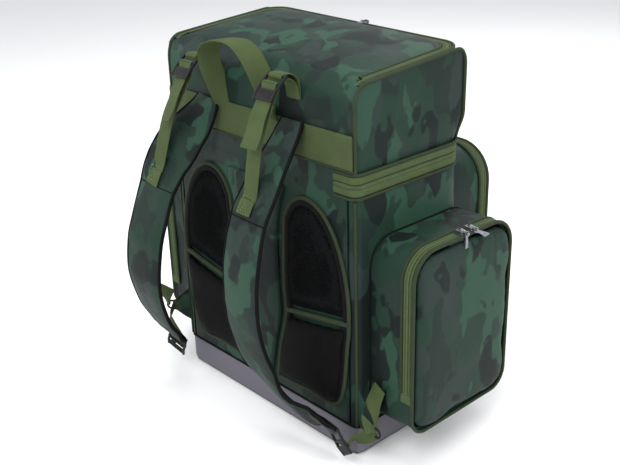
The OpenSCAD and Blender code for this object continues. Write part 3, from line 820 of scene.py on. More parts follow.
def zip_profile(width):
    """Half a zip across its width: a piping bead at a = 0, sewn ridges of tape, and a lip by the coil.
    Returns the points and each side's slot: 0 tape, 1 piping, 2 painted seam shadow in the gaps between ridges, under
    the tape and by the coil."""
    points, kinds = [(0.6, -1.8), (-1.6, -1.2)], [2, 2]

    def ridge(a0, a1, high, kind):
        r = (a1 - a0) / 2
        for k in range(7):
            q = math.pi * (1 - k / 6)
            points.append((a0 + r + r * math.cos(q), high * (0.25 + 0.75 * math.sin(q) ** 0.6)))
            kinds.append(kind if k < 6 else 2)
    ridge(-1.9, 2.1, ZIP_OUT + 2.0, 1)
    ridge(2.9, width - 3.2, ZIP_OUT + 0.9, 0)
    points += [(width - 2.6, 0.1), (width - 1.4, 0.0), (width - 1.4, -1.4)]
    kinds += [2, 2, 2]
    return points, kinds


def zip_coil(name, path, directions, reach, shift, pitch=2.1):
    """Zip coil along a path [(point mm, outward normal)]: each turn a small slanted block reaching along its
    direction; shift moves the first turn along, so that two halves mesh."""
    verts, faces = [], []
    walked, due = 0.0, shift
    for k, ((a, na), (b, _)) in enumerate(zip(path, path[1:])):
        length = (b - a).length
        t = (b - a) / max(length, 1e-9)
        while due < walked + length:
            p = a + t * (due - walked) + na * COIL_OUT
            start = len(verts)
            for s in (0, 1):
                c = p + directions[k] * (reach * s) + t * (0.9 * s)
                for dt, dn in ((-0.62, -0.4), (0.62, -0.4), (0.62, 0.75), (0, 1.0), (-0.62, 0.75)):
                    verts.append((c + t * dt + na * dn) * MM)
            faces += [tuple(start + i for i in (4, 3, 2, 1, 0)), tuple(start + 5 + i for i in range(5))]
            faces += [(start + i, start + (i + 1) % 5, start + 5 + (i + 1) % 5, start + 5 + i) for i in range(5)]
            due += pitch
        walked += length
    return piece(name, verts, faces, [COIL], smooth=False)


def half_zip(name, path, directions, width, lip=2.6, reach=2.7, shift=0.0):
    """A tape with its piping and coil along path [(point mm, outward normal)]; each direction points from the
    piping to the coil, which starts lip short of the full width."""
    stations = [(p * MM, d, n) for (p, n), d in zip(path, directions)]
    profile, kinds = zip_profile(width)
    # the third slot paints shade into the gaps between the ridges
    tape = sweep(name + "_tape", stations, profile, [TAPE, PIPING, GROOVE_SHADE], kinds)
    edge = [(p + d * (width - lip), n) for (p, n), d in zip(path, directions)]
    return merge(name, [tape, zip_coil(name + "_coil", edge, directions, reach, shift)])


def main_zip():
    path = cut_path(BODY, lambda x, y: not (abs(x) < ZIP_END_X and y < -HY + 1))
    low = [(Vector((x, y, ZIP_LOW)), Vector((nx, ny, 0))) for x, y, nx, ny in path]
    high = [(Vector((x, y, ZIP_TOP)), Vector((nx, ny, 0))) for x, y, nx, ny in path]
    width = SEAM - ZIP_LOW
    o = half_zip("main_zip_lower_half", low, [UP] * len(low), width)
    settle(o, "pack", ["main_zip_lower"])
    o = half_zip("main_zip_upper_half", high, [-UP] * len(high), width, shift=1.05)
    settle(o, "top_compartment", ["main_zip_upper"])


# ---------------------------------------------------------------- top compartment
def on_top(x, d, h):
    """A point on the sloping top: x across, d forward from the harness edge, h above it."""
    return (x, -HY + d * math.cos(SLOPE) - h * math.sin(SLOPE),
            BOX_BACK_Z + d * math.sin(SLOPE) + h * math.cos(SLOPE))


TOP_MATRIX = Matrix.Translation((0, -HY, BOX_BACK_Z)) @ Matrix.Rotation(SLOPE, 4, "X")
TOP_D = 2 * HY / math.cos(SLOPE)
RIM_IN = 23                   # the opening under the flap starts this far in from the edges
BOX_Z0 = ZIP_TOP - 1


def corner_radius(z, front):
    """Plan radius of the top compartment's upright corners: as the zip's at the bottom, tight at the top."""
    t = ease(clamp((z - BOX_Z0) / 42))
    return (FRONT_R + (12 - FRONT_R) * t) if front else (BACK_R + (8 - BACK_R) * t)


EDGE_R = 27.0                 # the rounding between the harness face and the top


def side_profile(step=7.0):
    """The top compartment seen from the side, from the harness face's foot, over the top, to the front's foot:
    [(y, z, ny, nz, part)] where part is back, top or front."""
    rb, rf = EDGE_R, 22.0
    out = []
    top_back, top_front = BOX_BACK_Z, BOX_BACK_Z + BOX_RISE
    zb = top_back + rb * (math.tan(SLOPE) - 1 / math.cos(SLOPE))
    zf = top_front - rf * (math.tan(SLOPE) + 1 / math.cos(SLOPE))
    rows = max(2, round((zb - BOX_Z0) / step))
    out += [(-HY, BOX_Z0 + (zb - BOX_Z0) * k / rows, -1, 0, "back") for k in range(rows)]
    turn = math.pi / 2 - SLOPE
    for k in range(9):
        a = math.pi - turn * k / 8
        out.append((-HY + rb + rb * math.cos(a), zb + rb * math.sin(a), math.cos(a), math.sin(a),
                    "back" if k < 4 else "top"))
    start, end = Vector(out[-1][:2]), Vector((HY - rf + rf * math.cos(math.pi / 2 + SLOPE),
                                             zf + rf * math.sin(math.pi / 2 + SLOPE)))
    rows = max(2, round((end - start).length / step))
    n = (-math.sin(SLOPE), math.cos(SLOPE))
    out += [(*start.lerp(end, k / rows), *n, "top") for k in range(1, rows)]
    turn = math.pi / 2 + SLOPE
    for k in range(9):
        a = turn * (1 - k / 8)
        out.append((HY - rf + rf * math.cos(a), zf + rf * math.sin(a), math.cos(a), math.sin(a), "front"))
    rows = max(2, round((zf - BOX_Z0) / step))
    out += [(HY, zf + (BOX_Z0 - zf) * k / rows, 1, 0, "front") for k in range(1, rows + 1)]
    return out


PROFILE = side_profile()


def edge_at(y, z):
    """Half width of the top compartment on its piped edge, and how far that edge is pulled in from the face."""
    front = y > 0
    r = corner_radius(z, front)
    pull = (1 - math.cos(math.pi / 4)) * r
    reach = (HY - y) if front else (y + HY)
    near = max(0.0, 1 - reach / (r + 6))
    return HX - 2.0 * (1 - near) - pull * near, pull * near


def box_swell(v_z, t):
    """How far the sides of the top compartment belly out over the zip, by height and place along the face."""
    h = clamp((v_z - BOX_Z0) / (BOX_BACK_Z - BOX_Z0))
    return (3.2 * math.exp(-((h - 0.20) / 0.17) ** 2) - 2.0 * math.exp(-(h / 0.06) ** 2)
            + 1.2 * hump(h)) * hump(t, 6)


def along_slope(y):
    """How far forward a profile point lies, measured along the sloping top."""
    return (y + HY) / math.cos(SLOPE)


def strip_row(y, z, ny, nz, part, ts):
    """One row of points across the top compartment, between its two piped edges."""
    hw, _ = edge_at(y, z)
    r = corner_radius(z, y > 0)
    row = []
    for t in ts:
        x, yy = hw * t, y
        over = abs(x) - (HX - r)
        if part != "top" and over > 0:
            yy -= math.copysign((r - math.sqrt(max(r * r - over * over, 0))) * abs(ny), y)
        calm = 0.25 if y < 0 else 1
        out = calm * box_swell(z, (t + 1) / 2) * abs(ny) if part != "top" else 0
        out += ripple((x, yy, z), 60, 0.8, 5.0) * hump((t + 1) / 2, 12) * (1 if z > BAND1[2] or y > 0 else 0.3)
        row.append((x, yy + ny * out, z + nz * out))
    return row


def top_frame():
    """The rim round the opening and the front face of the top compartment."""
    inner = HX - RIM_IN
    ts = [round(-1 + 2 * k / 48, 6) for k in range(49)]
    rows = [p for p in PROFILE if p[4] != "back" and (p[0] > 0 or along_slope(p[0]) > 7)]
    verts = []
    for y, z, ny, nz, part in rows:
        row = strip_row(y, z, ny, nz, part, ts)
        for x, yy, zz in row:
            if part == "top":
                if abs(abs(x) - inner) < 5:
                    x = math.copysign(inner, x)
                drop = -0.6 - (2.2 if along_slope(y) < 17 else 0)
                yy, zz = yy + ny * drop, zz + nz * drop
            verts.append((x, yy, zz))
    n = len(ts)
    faces = []
    for f in grid_faces(len(rows), n):
        ds = [along_slope(verts[i][1]) for i in f]
        if min(ds) > 15 and max(ds) < TOP_D - RIM_IN + 4 and max(abs(verts[i][0]) for i in f) <= inner + 0.5:
            continue
        faces.append(f)
    used = sorted({i for f in faces for i in f})
    index = {v: k for k, v in enumerate(used)}
    o = shell("top_box_frame", [verts[i] for i in used], [tuple(index[i] for i in f) for f in faces], 3.2,
              BODY_CLOTH, (0, 0, 480))
    settle(o, "top_compartment", ["top_box_shell"])


FLAP_IN = 17.5                # the flap's edge lies this far in from the piped edges
FLAP_CROWN = 15.5


def flap_half_width(d):
    """Half width of the cover: the whole harness face, then the flap with rounded front corners."""
    r, far = 26, TOP_D - FLAP_IN
    wide = HX - FLAP_IN
    if d > far - r:
        wide -= r - math.sqrt(max(r * r - (d - far + r) ** 2, 0.0))
    return wide


def top_cover():
    """The harness face, the soft back edge and the flap: one cloth that folds just behind the edge."""
    ts = [math.sin(math.pi / 2 * (-1 + 2 * k / 56)) * 0.35 + (-1 + 2 * k / 56) * 0.65 for k in range(57)]
    far = TOP_D - FLAP_IN
    rows = []
    for p in PROFILE:
        if p[0] > 0 or p[4] == "front":
            break
        rows.append(p)
    y_last = rows[-1][0]
    d = along_slope(y_last) + 7
    slope_n = (-math.sin(SLOPE), math.cos(SLOPE))
    while d < far - 0.5:
        step = 7 if d < far - 28 else 3.5
        q = on_top(0, d, 0)
        rows.append((q[1], q[2], *slope_n, "top"))
        d += step
    q = on_top(0, far, 0)
    rows.append((q[1], q[2], *slope_n, "top"))
    verts = []
    for y, z, ny, nz, part in rows:
        d = along_slope(y)
        if part == "back" or d < 13:
            verts += strip_row(y, z, ny, nz, part, ts)
            continue
        edge, _ = edge_at(y, z)
        k = min(1.0, (d - 13) / 6)
        wide = edge + (flap_half_width(d) - edge) * k
        rise = clamp((d - 8) / 95)
        rise = math.sin(rise * math.pi / 2) ** 1.2
        fall = clamp((far - d) / 70)
        fall = 0.36 + 0.64 * math.sin(fall * math.pi / 2)
        for t in ts:
            x = wide * t
            crown = 1 - abs(t) ** 5
            lip = 3.6 * k
            h = lip + (FLAP_CROWN - 3.6) * rise * fall * crown + ripple((x, d, 0), 75, 1.5, 9.0) * crown * k
            h -= 2.4 * k * (max(abs(t), 1 - (far - d) / 60) ** 14)
            verts.append((x, y + ny * h, z + nz * h))
    n = len(ts)
    o = shell("top_cover", verts, grid_faces(len(rows), n), 3.4, BODY_CLOTH, (0, 0, 430), 60)
    fine = o.modifiers.new("fine", "SUBSURF")
    fine.levels = 1
    apply_modifiers(o)
    smooth(o, 60)
    start, end = on_top(0, 11, 0), on_top(0, 27, 0)
    settle(o, None, ["top_flap"],
           blend=("top_compartment", "flap", V(*start), V(*end)))


def end_boundary():
    """The piped edge of an end panel as [(x, y, z)], from the harness face's foot round to the front's foot."""
    out = []
    for y, z, ny, nz, part in PROFILE:
        hw, pull = edge_at(y, z)
        yy = y if part == "top" else y - math.copysign(min(pull, abs(y)), y)
        out.append((hw, yy, z, ny, nz))
    return out


def end_panel(s, side):
    edge = end_boundary()
    foot = [(edge[-1][1] + (edge[0][1] - edge[-1][1]) * k / 22, BOX_Z0) for k in range(1, 22)]
    loop = [(y, z) for _, y, z, _, _ in edge] + foot
    cy, cz = 0, 488               # the rings draw in to this point of the panel
    rings = 13
    verts = []

    def face_x(y, z, t):
        r = corner_radius(z, y > 0)
        over = abs(y) - (HY - r)
        x = HX - 2.0
        if over > 0:
            x -= r - math.sqrt(max(r * r - over * over, 0.0))
        swell = box_swell(z, (y + HY) / (2 * HY)) * hump((1 - t) * 0.5, 6)
        return x + swell + ripple((0, y, z), 48, 1.3, 6.0 + s) * (1 - t ** 6)
    for k in range(rings):
        t = 1 - k / rings
        for y, z in loop:
            yy, zz = cy + (y - cy) * t, cz + (z - cz) * t
            verts.append((s * face_x(yy, zz, t), yy, zz))
    n = len(loop)
    verts.append((s * face_x(cy, cz, 0), cy, cz))
    faces = grid_faces(rings, n, True) + [((rings - 1) * n + k, (rings - 1) * n + (k + 1) % n, rings * n)
                                          for k in range(n)]
    o = shell(f"top_box_end_{side}", verts, faces, 3.5, BODY_CLOTH, (0, 0, 480))
    settle(o, "top_compartment")
    stations = []
    line = [Vector((s * x, y, z)) for x, y, z, _, _ in edge]
    for p, t, (_, _, _, ny, nz) in zip(line, tangents(line), edge):
        out = Vector((s, ny, nz)).normalized()
        out = (out - t * out.dot(t)).normalized()
        stations.append(((p + out * 0.6) * MM, t.cross(out), out))
    bead = sweep(f"top_box_piping_{side}", stations, ring(2.5, 10), [PIPING])
    settle(bead, "top_compartment", ["box_piping"] if s > 0 else ())


def top_floor():
    loop = [(x, y) for x, y, _, _ in outline(-HX + 5, -HY + 5, HX - 5, HY - 5, (8, 31, 31, 8), step=20)]
    o = crowned("top_box_divider", loop, lambda u, v, h: (u, v, ZIP_TOP + 0.4 + h), 3.4, 2.4, [LINING], wrinkle=0.5)
    settle(o, "top_compartment", ["top_box_floor"])


def band():
    z = (BAND0[2] + BAND1[2]) / 2
    tall = BAND1[2] - BAND0[2]
    xs = [BAND0[0] + (BAND1[0] - BAND0[0]) * k / 60 for k in range(61)]
    stations = []
    for x in xs:
        wave = 0.35 * noise.noise(Vector((x / 40, 0, 3)))
        rise = 0.6 * noise.noise(Vector((x / 50, 5, 0)))
        stations.append((V(x, -HY - 2.3 - wave, z + rise), UP, OUT))
    o = sweep("webbing_band_cloth", stations, tape_profile(tall, 2.4, 10), [WEB])
    settle(o, "top_compartment", ["webbing_band"])
    low = [(V(x, -HY - 1.5, BAND0[2] - 2.2), UP, OUT) for x in xs]
    settle(sweep("band_piping", low, ring(2.1, 8), [PIPING]), "top_compartment")


def flap_path(inset, h, step=8):
    """The U of the flap's zip on the sloping top: [(point mm, outward normal)]."""
    far_r = FRONT_R - inset / 2
    loop = outline(-HX + inset, inset, HX - inset, TOP_D - inset, (1, far_r, far_r, 1), step=step)
    run = cut_path(loop, lambda x, d: d > (9 if inset < 10 else inset + 3))
    out = []
    for x, d, nx, nd in run:
        lean = math.asin(clamp((EDGE_R - d) / EDGE_R))       # the zip dips over the rounded back edge
        up = Vector((0, -math.sin(SLOPE + lean), math.cos(SLOPE + lean)))
        p = Vector(on_top(x, d, EDGE_R * (math.cos(lean) - 1))) + up * h
        out.append((p, up, Vector((nx, nd * math.cos(SLOPE), nd * math.sin(SLOPE)))))
    return out


FLAP_ZIP_W = 8.6              # width of half the flap's zip


def flap_zip():
    for name, body, inset, height, sign, node, shift in (
            ("flap_zip_lower_half", "top_compartment", 4.6, 0.2, -1, "flap_zip_lower", 0),
            ("flap_zip_upper_half", "flap", 19.6, 0.7, 1, "flap_zip_upper", 1.05)):
        run = flap_path(inset, height)
        o = half_zip(name, [(p, up) for p, up, _ in run], [n * sign for _, _, n in run], FLAP_ZIP_W, 2.4, 2.6, shift)
        settle(o, body, [node])


# ---------------------------------------------------------------- pockets
POCKET_ZIP_W = 10.2           # width of half a pocket zip


class Pocket:
    """A box pocket: a gusset round an outline, a zip band near its outer edge and a padded panel that folds down.
    place(u, v, w) gives the row-frame point of outline point (u, v) at depth w outward from the pack."""

    def __init__(self, name, body, node_wall, node_panel, node_trim, node_zip, u0, u1, top, depth0, depth1, radii,
                 place, axes, seed):
        self.name, self.body, self.seed = name, body, seed
        self.nodes = (node_wall, node_panel, node_trim, node_zip)
        self.box = (u0, SIDE0[2], u1, top)
        self.depth0, self.depth1, self.radii, self.place = depth0, depth1, radii, place
        self.axis_u, self.axis_w = Vector(axes[0]), Vector(axes[1])
        low, high = radii
        self.loop = outline(u0, SIDE0[2], u1, top, (low, high, high, low), step=8)

    def normal(self, nu, nv):
        return self.axis_u * nu + UP * nv

    def at(self, point, w, out=0.0):
        u, v, nu, nv = point
        return Vector(self.place(u, v, w)) + self.normal(nu, nv) * out

    def gusset(self):
        steps = 12
        verts, n = [], len(self.loop)
        end = self.depth1 + 0.2
        for r in range(steps + 1):
            t = r / steps
            w = self.depth0 + (end - self.depth0) * t
            for point in self.loop:
                _, _, nu, nv = point
                swell = 2.2 * hump(min(1.0, t / 0.8) * 0.98 + 0.01, 2.5) if t < 0.8 else 0
                swell *= 0.6 + 0.4 * abs(nu * nv) * 2
                swell += ripple(self.at(point, w), 38, 1.0, self.seed) * hump(t, 6)
                verts.append(tuple(self.at(point, w, swell)))
        o = shell(f"{self.name}_gusset", verts, grid_faces(steps + 1, n, True), 3.6, BODY_CLOTH,
                  self.place((self.box[0] + self.box[2]) / 2, (self.box[1] + self.box[3]) / 2,
                             (self.depth0 + self.depth1) / 2))
        settle(o, "pack", [self.nodes[0]])
        seam = [(self.at(p, self.depth0 + 1.6, 0.8) * MM, self.axis_w, self.normal(p[2], p[3])) for p in self.loop]
        bead = sweep(f"{self.name}_seam", seam, ring(1.7, 8), [BINDING], closed=True)
        settle(bead, "pack")

    def zips(self):
        run = cut_path(self.loop, lambda u, v: v > FOLD_Z + 3)
        gusset_side = [(self.at(p, self.depth1 - 14.6, 0.3), self.normal(p[2], p[3])) for p in run]
        o = half_zip(f"{self.name}_zip_gusset_half", gusset_side, [self.axis_w] * len(run), POCKET_ZIP_W)
        settle(o, "pack", [self.nodes[3]] if self.nodes[3] else ())
        panel_side = [(self.at(p, self.depth1 + 4.6, 0.3), self.normal(p[2], p[3])) for p in run]
        o = half_zip(f"{self.name}_zip_panel_half", panel_side, [-self.axis_w] * len(run), POCKET_ZIP_W, shift=1.05)
        settle(o, self.body, [self.nodes[2]])
        # a sewn cloth stop covers each end of the zip
        stop = Hard()
        for p in (run[0], run[-1]):
            c = self.at(p, self.depth1 - 5, 1.4)
            n = self.normal(p[2], p[3])
            turn = Matrix((self.axis_w, UP, n)).transposed().to_4x4()
            stop.block(c + Vector((0, 0, -3)), (19, 14, 2.6), 1.1, turn)
        settle(stop.finish(f"{self.name}_zip_stops", TAPE), "pack")

    def panel(self):
        loop = [(u, v) for u, v, _, _ in outline(self.box[0] + 1, self.box[1] + 1, self.box[2] - 1, self.box[3] - 1,
                                                  (self.radii[0], self.radii[1], self.radii[1], self.radii[0]),
                                                  step=9)]

        def place(u, v, h):
            return self.place(u, v, self.depth1 - 0.5 + h)
        o = crowned(f"{self.name}_panel_cushion", loop, place, 11.0, 7.5, [CAMO], rings=16, wrinkle=0.7,
                    seed=self.seed, middle=((self.box[0] + self.box[2]) / 2, (self.box[1] + self.box[3]) / 2))
        puff(o, 3.0, 4.5, 4.5)
        across = (V(0, 0, FOLD_Z - 5), V(0, 0, FOLD_Z + 8))
        settle(o, self.body, [self.nodes[1]], blend=("pack", self.body, *across))
        bead = [(self.at(p, self.depth1 + 5.4, 0.9) * MM, self.axis_w, self.normal(p[2], p[3])) for p in self.loop]
        edge = [(self.at(p, self.depth1 + 1.6, 0.0) * MM, self.axis_w, self.normal(p[2], p[3])) for p in self.loop]
        o = sweep(f"{self.name}_panel_border", edge, tape_profile(8.6, 2.2), [CAMO], closed=True)
        settle(o, self.body, blend=("pack", self.body, *across))
        o = sweep(f"{self.name}_panel_piping", bead, ring(2.5, 10), [PIPING], closed=True)
        settle(o, self.body, blend=("pack", self.body, *across))

    def build(self):
        self.gusset()
        self.zips()
        self.panel()


def pockets():
    for s, side in ((1, "right"), (-1, "left")):
        Pocket(f"side_pocket_{side}", f"side_panel_{side}", f"pocket_wall_{side}", f"pocket_panel_{side}",
               f"pocket_trim_{side}", "pocket_zips" if s > 0 else None, SIDE0[1], SIDE1[1], SIDE1[2],
               HX + 0.3, PANEL0[0], (28, 40), lambda u, v, w, s=s: (s * w, u, v), ((0, 1, 0), (s, 0, 0)),
               11.0 + s).build()
    Pocket("front_pocket", "front_panel", "front_pocket_wall", "front_pocket_panel", "front_pocket_trim",
           "front_pocket_zip", FRONT0[0], FRONT1[0], FRONT1[2], HY + 0.3, FPANEL0[1], (30, 52),
           lambda u, v, w: (u, w, v), ((1, 0, 0), (0, 1, 0)), 17.0).build()


# ---------------------------------------------------------------- back pads
def window(side):
    """Outline of one arched window of the back system, [(x, z)], smooth."""
    pts = [(34, 68), (100, 72), (166, 80)]
    pts += [(106 + 82 * math.cos(a), 224 + 152 * math.sin(a)) for a in
            (math.radians(-16 + 106 * k / 12) for k in range(13))]
    pts += [(106 + 46 * math.cos(a), 316 + 60 * math.sin(a)) for a in
            (math.radians(90 + 76 * k / 6) for k in range(1, 7))]
    pts += [(56, 240), (58, 180), (42, 120)]
    closed = [Vector((x, z, 0)) for x, z in pts]
    line = spline(closed + [closed[0]], 7)[:-1]
    return [(side * p.x, p.y) for p in line]


BAR_LOW, BAR_RISE, BAR_W = 176, 38, 9     # a window's cross bar: height at the middle, rise to x = 220, width


def bar_z(x, above):
    """The height of a cross bar's lower edge at x, and above it by that much."""
    return BAR_LOW + BAR_RISE * abs(x) / 220 + above


def clip(loop, below):
    """The part of a window above or below its cross bar."""
    def over(x, z):
        edge = bar_z(x, 0 if below else BAR_W)
        return (edge - z) if below else (z - edge)
    out = []
    for a, b in zip(loop, loop[1:] + loop[:1]):
        fa, fb = over(*a), over(*b)
        if fa > 0:
            out.append(a)
        if fa * fb < 0:
            t = fa / (fa - fb)
            out.append((a[0] + (b[0] - a[0]) * t, a[1] + (b[1] - a[1]) * t))
    return resample(out, 120)


def shrink(loop, by):
    """An outline drawn in by a distance in mm."""
    out, n = [], len(loop)
    area = sum(loop[k][0] * loop[(k + 1) % n][1] - loop[(k + 1) % n][0] * loop[k][1] for k in range(n))
    for k in range(n):
        a, b = Vector(loop[k - 2]), Vector(loop[(k + 2) % n])
        t = (b - a).normalized()
        n_in = Vector((-t.y, t.x)) * (1 if area > 0 else -1)
        out.append(tuple(Vector(loop[k]) + n_in * by))
    return out


def on_back(u, v, h):
    return (u, -HY - h, v)


def back_pads():
    for s, side in ((1, "right"), (-1, "left")):
        loop = window(s)
        upper, lower = shrink(clip(loop, False), 4), shrink(clip(loop, True), 4)
        o = crowned(f"mesh_window_{side}", upper, on_back, 6.0, 2.2, [MESH], rings=9, wrinkle=0.9, seed=21.0 + s)
        settle(o, "pack", ["mesh_pads"] if s > 0 else ())
        o = crowned(f"lumbar_pad_{side}", lower, on_back, 11, 7.5, [LUMBAR], rings=9, wrinkle=0.6, seed=23.0 + s)
        puff(o, 3.0, 3.0, 4.0)
        settle(o, "pack", ["lumbar_pads"] if s > 0 else ())
        path = rail([V(x, -HY - 2.2, z) for x, z in loop], True)
        rim = sweep(f"window_binding_{side}", path, [(a * 1.3, b) for a, b in ring(2.5, 10)], [PIPING], closed=True)
        path = rail([V(x, -HY - 2.4, z) for x, z in shrink(loop, 6.5)], True)
        border = sweep(f"window_border_{side}", path, [(a * 2.0, b) for a, b in ring(2.4, 10)], [BINDING],
                       closed=True)
        settle(border, "pack")
        bar = [(s * x, bar_z(x, BAR_W / 2)) for x in crossing(loop)]
        xs = [bar[0][0] + (bar[1][0] - bar[0][0]) * k / 12 for k in range(13)]
        zs = [bar[0][1] + (bar[1][1] - bar[0][1]) * k / 12 for k in range(13)]
        path = rail([V(x, -HY - 2.6 - 1.5 * hump(k / 12, 2), z) for k, (x, z) in enumerate(zip(xs, zs))], False)
        strap = sweep(f"window_bar_{side}", path, [(a * 1.25, b) for a, b in ring(3.2, 10)], [PIPING])
        o = merge(f"window_binding_{side}", [rim, strap])
        settle(o, "pack", ["pad_bindings"] if s > 0 else ())
    half = [(24, 66), (36, 120), (50, 180), (48, 240), (50, 320), (66, 384)]
    curve = [(p.x, p.y) for p in spline([Vector((x, z, 0)) for x, z in half], 8)]
    curve = [(x - 4, z) for x, z in curve]
    loop = curve + [(x, 384) for x in range(56, -62, -8)] + [(-x, z) for x, z in reversed(curve)]
    loop += [(x, 66) for x in range(-12, 20, 8)]
    o = crowned("spine_pad_cushion", resample(loop, 150), on_back, 9, 5.5, [CAMO], rings=10, wrinkle=0.6, seed=27.0,
                middle=(0, 225))
    settle(o, "pack", ["spine_pad"])


def crossing(loop):
    """The two x distances at which a window's cross bar meets its outline."""
    found = []
    for a, b in zip(loop, loop[1:] + loop[:1]):
        fa, fb = a[1] - bar_z(a[0], BAR_W / 2), b[1] - bar_z(b[0], BAR_W / 2)
        if fa * fb < 0:
            t = fa / (fa - fb)
            found.append(abs(a[0] + (b[0] - a[0]) * t))
    return sorted(found)[:2]


def rail(points, closed):
    """Turns points that lie against the harness face into stations: A along the face, B out of it."""
    n = len(points)
    stations = []
    for k, p in enumerate(points):
        a = points[k - 1] if (closed or k) else p
        b = points[(k + 1) % n] if (closed or k < n - 1) else p
        t = (b - a).normalized()
        stations.append((p, t.cross(OUT).normalized(), OUT))
    return stations


# ---------------------------------------------------------------- shoulder straps
STRAP_T = 11
WEB_W = 27
JOIN_Z = 405            # each strap is cut here into an upper and a lower piece
STRAPS = {                # centre line and width from the seam under the band down to the buckle
    "right": [(91, -117.5, 484, 43), (91, -121, 477, 45), (90, -130, 462, 48), (89, -143, 444, 53),
              (88, -155, 428, 58), (87, -168, 408, 63), (86, -179, 391, 66), (84.5, -195, 362.5, 69),
              (83.5, -207, 318, 71), (81, -212, 270, 71), (77, -208, 213, 71), (78, -194, 156, 67), (86, -172, 104, 58),
              (103, -158, 76, 50), (132, -149, 63, 42), (160, -145.5, 64, 38), (175, -137, 52, 36)],
    "left": [(-91, -117.5, 484, 44), (-92, -121, 477, 47), (-95, -131, 462, 54), (-100, -146, 444, 62),
             (-104, -162, 428, 68), (-109, -177, 408, 72), (-112, -189, 391, 74), (-115, -203, 362.5, 75),
             (-116, -221, 318, 75), (-118, -233, 278, 75), (-127, -234, 218, 74), (-140, -216, 160, 70),
             (-147, -197, 124, 62), (-150, -179, 99, 50), (-161, -163, 80, 38)],
}
# how far a strap's face turns out, in degrees, by height
TURNS = {"right": ((477, 0), (391, 2), (280, 0), (130, 0), (95, -20), (70, -34), (60, -24), (52, 0)),
         "left": ((477, 4), (444, 20), (420, 24), (391, 13), (362, 5), (280, 5), (150, 4), (80, 0))}


def strap_stations(side):
    """The whole strap as [(point mm, across, towards the pack, half width)]."""
    fine = spline(STRAPS[side], 5)
    line = [p.to_3d() for p in fine]
    out = []
    for q, p, t in zip(fine, line, tangents(line)):
        level = Vector((-t.z, 0, t.x)).normalized()
        near = min(1.0, (p - line[-1]).length / 30)             # the buckle's own width is level with the pack's
        across = (Vector((1, 0, 0)) - t * t.x).normalized().lerp(level, near)
        across = (across - t * across.dot(t)).normalized()
        turn = math.radians(between(TURNS[side], p.z))
        across = across * math.cos(turn) + across.cross(t) * math.sin(turn)
        out.append((p, across, across.cross(t), q.w / 2))
    return out


def between(table, z):
    """A value read from [(height, value)], highest first, with straight lines between the entries."""
    for (z0, v0), (z1, v1) in zip(table, table[1:]):
        if z >= z1:
            return v0 + (v1 - v0) * clamp((z0 - z) / (z0 - z1))
    return table[-1][1]


def strap_profile(count):
    """A padded section over a in -1..1: camouflage outside (b < 0), mesh inside (b > 0)."""
    ks = [-1 + 2 * k / (count - 1) for k in range(count)]

    def thick(k):
        return 0.5 * STRAP_T * (0.30 + 0.70 * (1 - abs(k) ** 3.2))
    outer = [(k, -thick(k)) for k in ks]
    inner = [(k, thick(k) * 0.9) for k in reversed(ks)]
    return outer + inner, [0] * (count - 1) + [2] + [1] * (count - 1) + [2]


def strap_body(name, stations):
    profile, kinds = strap_profile(13)
    places = []
    for p, across, inward, half in stations:
        out = inward * (0.8 * noise.noise(Vector((0, p.y / 30, p.z / 26))))
        places.append(((p + out) * MM, across * (half - 1.0), inward))
    body = sweep(name, places, profile, [CAMO, MESH, BINDING], kinds)
    rumple(body, 22, 0.7, 31.0)
    edges = [body]
    for s in (-1, 1):
        rim = [((p + across * s * (half - 1.2)) * MM, across * s, inward) for p, across, inward, half in stations]
        oval = [(1.9 * math.cos(q), 3.1 * math.sin(q)) for q in (2 * math.pi * k / 12 for k in range(12))]
        edges.append(sweep(f"{name}_edge{s}", rim, oval, [BINDING]))
    return merge(name, edges)


def shoulder_strap(side):
    stations = strap_stations(side)
    cut = min(range(len(stations)), key=lambda k: abs(stations[k][0].z - JOIN_Z))
    upper, lower = stations[:cut + 1], stations[cut:]
    z = stations[cut][0].z
    o = strap_body(f"strap_top_{side}", upper)
    settle(o, None, ["strap_tops", "strap_seam_tabs"] if side == "right" else (),
           blend=("top_compartment", "pack", V(0, -120, 474), V(0, -120, z + 4)))
    # the tapered end draws in to the buckle's webbing loop
    p, across, inward, half = lower[-1]
    t = inward.cross(across)
    t = -t if t.z > 0 else t
    for reach, share in ((3.5, 0.86), (6.5, 0.6)):
        lower = lower + [(p + t * reach, across, inward, max(half * share, 9))]
    cushion = strap_body(f"strap_{side}_cushion", lower)
    p, across, inward, half = min(stations, key=lambda q: abs(q[0].z - 361))
    down = inward.cross(across)
    ts = [-1 + 2 * k / 14 for k in range(15)]
    line = [((p + across * half * t * 0.97 - inward * (0.5 * STRAP_T * (0.34 + 0.66 * (1 - abs(t) ** 3.2)))) * MM,
             down, inward) for t in ts]
    o = merge(f"strap_{side}_cushion", [cushion, sweep(f"strap_seam_{side}", line, ring(0.9, 6), [BINDING])])
    settle(o, None, [f"strap_{side}"],
           blend=("pack", f"strap_{side}", V(0, -120, z - 4), V(0, -120, z - 62)))
    return stations


def tape(name, points, width, thick, step, twist=None, hem=0):
    """Flat webbing along points in mm; hem adds a second layer on its last stretch."""
    stations = band_stations([Vector(p) for p in points], step, twist)
    o = sweep(name, stations, tape_profile(width, thick), [WEB])
    if hem:
        far, count = 0.0, 0
        for a, b in zip(reversed(stations), list(reversed(stations))[1:]):
            far += (a[0] - b[0]).length / MM
            count += 1
            if far >= hem:
                break
        over = [(p + B * thick * MM * 0.98, A, B) for p, A, B in stations[-count - 1:]]
        o = merge(name, [o, sweep(name + "_hem", over, tape_profile(width - 0.6, thick), [WEB])])
    return o


LOCK_W, LOCK_LEN, BAR_R = WEB_W + 10, 34, 1.8
LOCK_SIDE = [(0.4, 2.4), (-3.2, -6), (-5.5, -13), (-8.4, -21), (-10.4, -35)]     # the frame in side view, (y, z)
LOCK_BAR2 = (-5.5, -13.0)


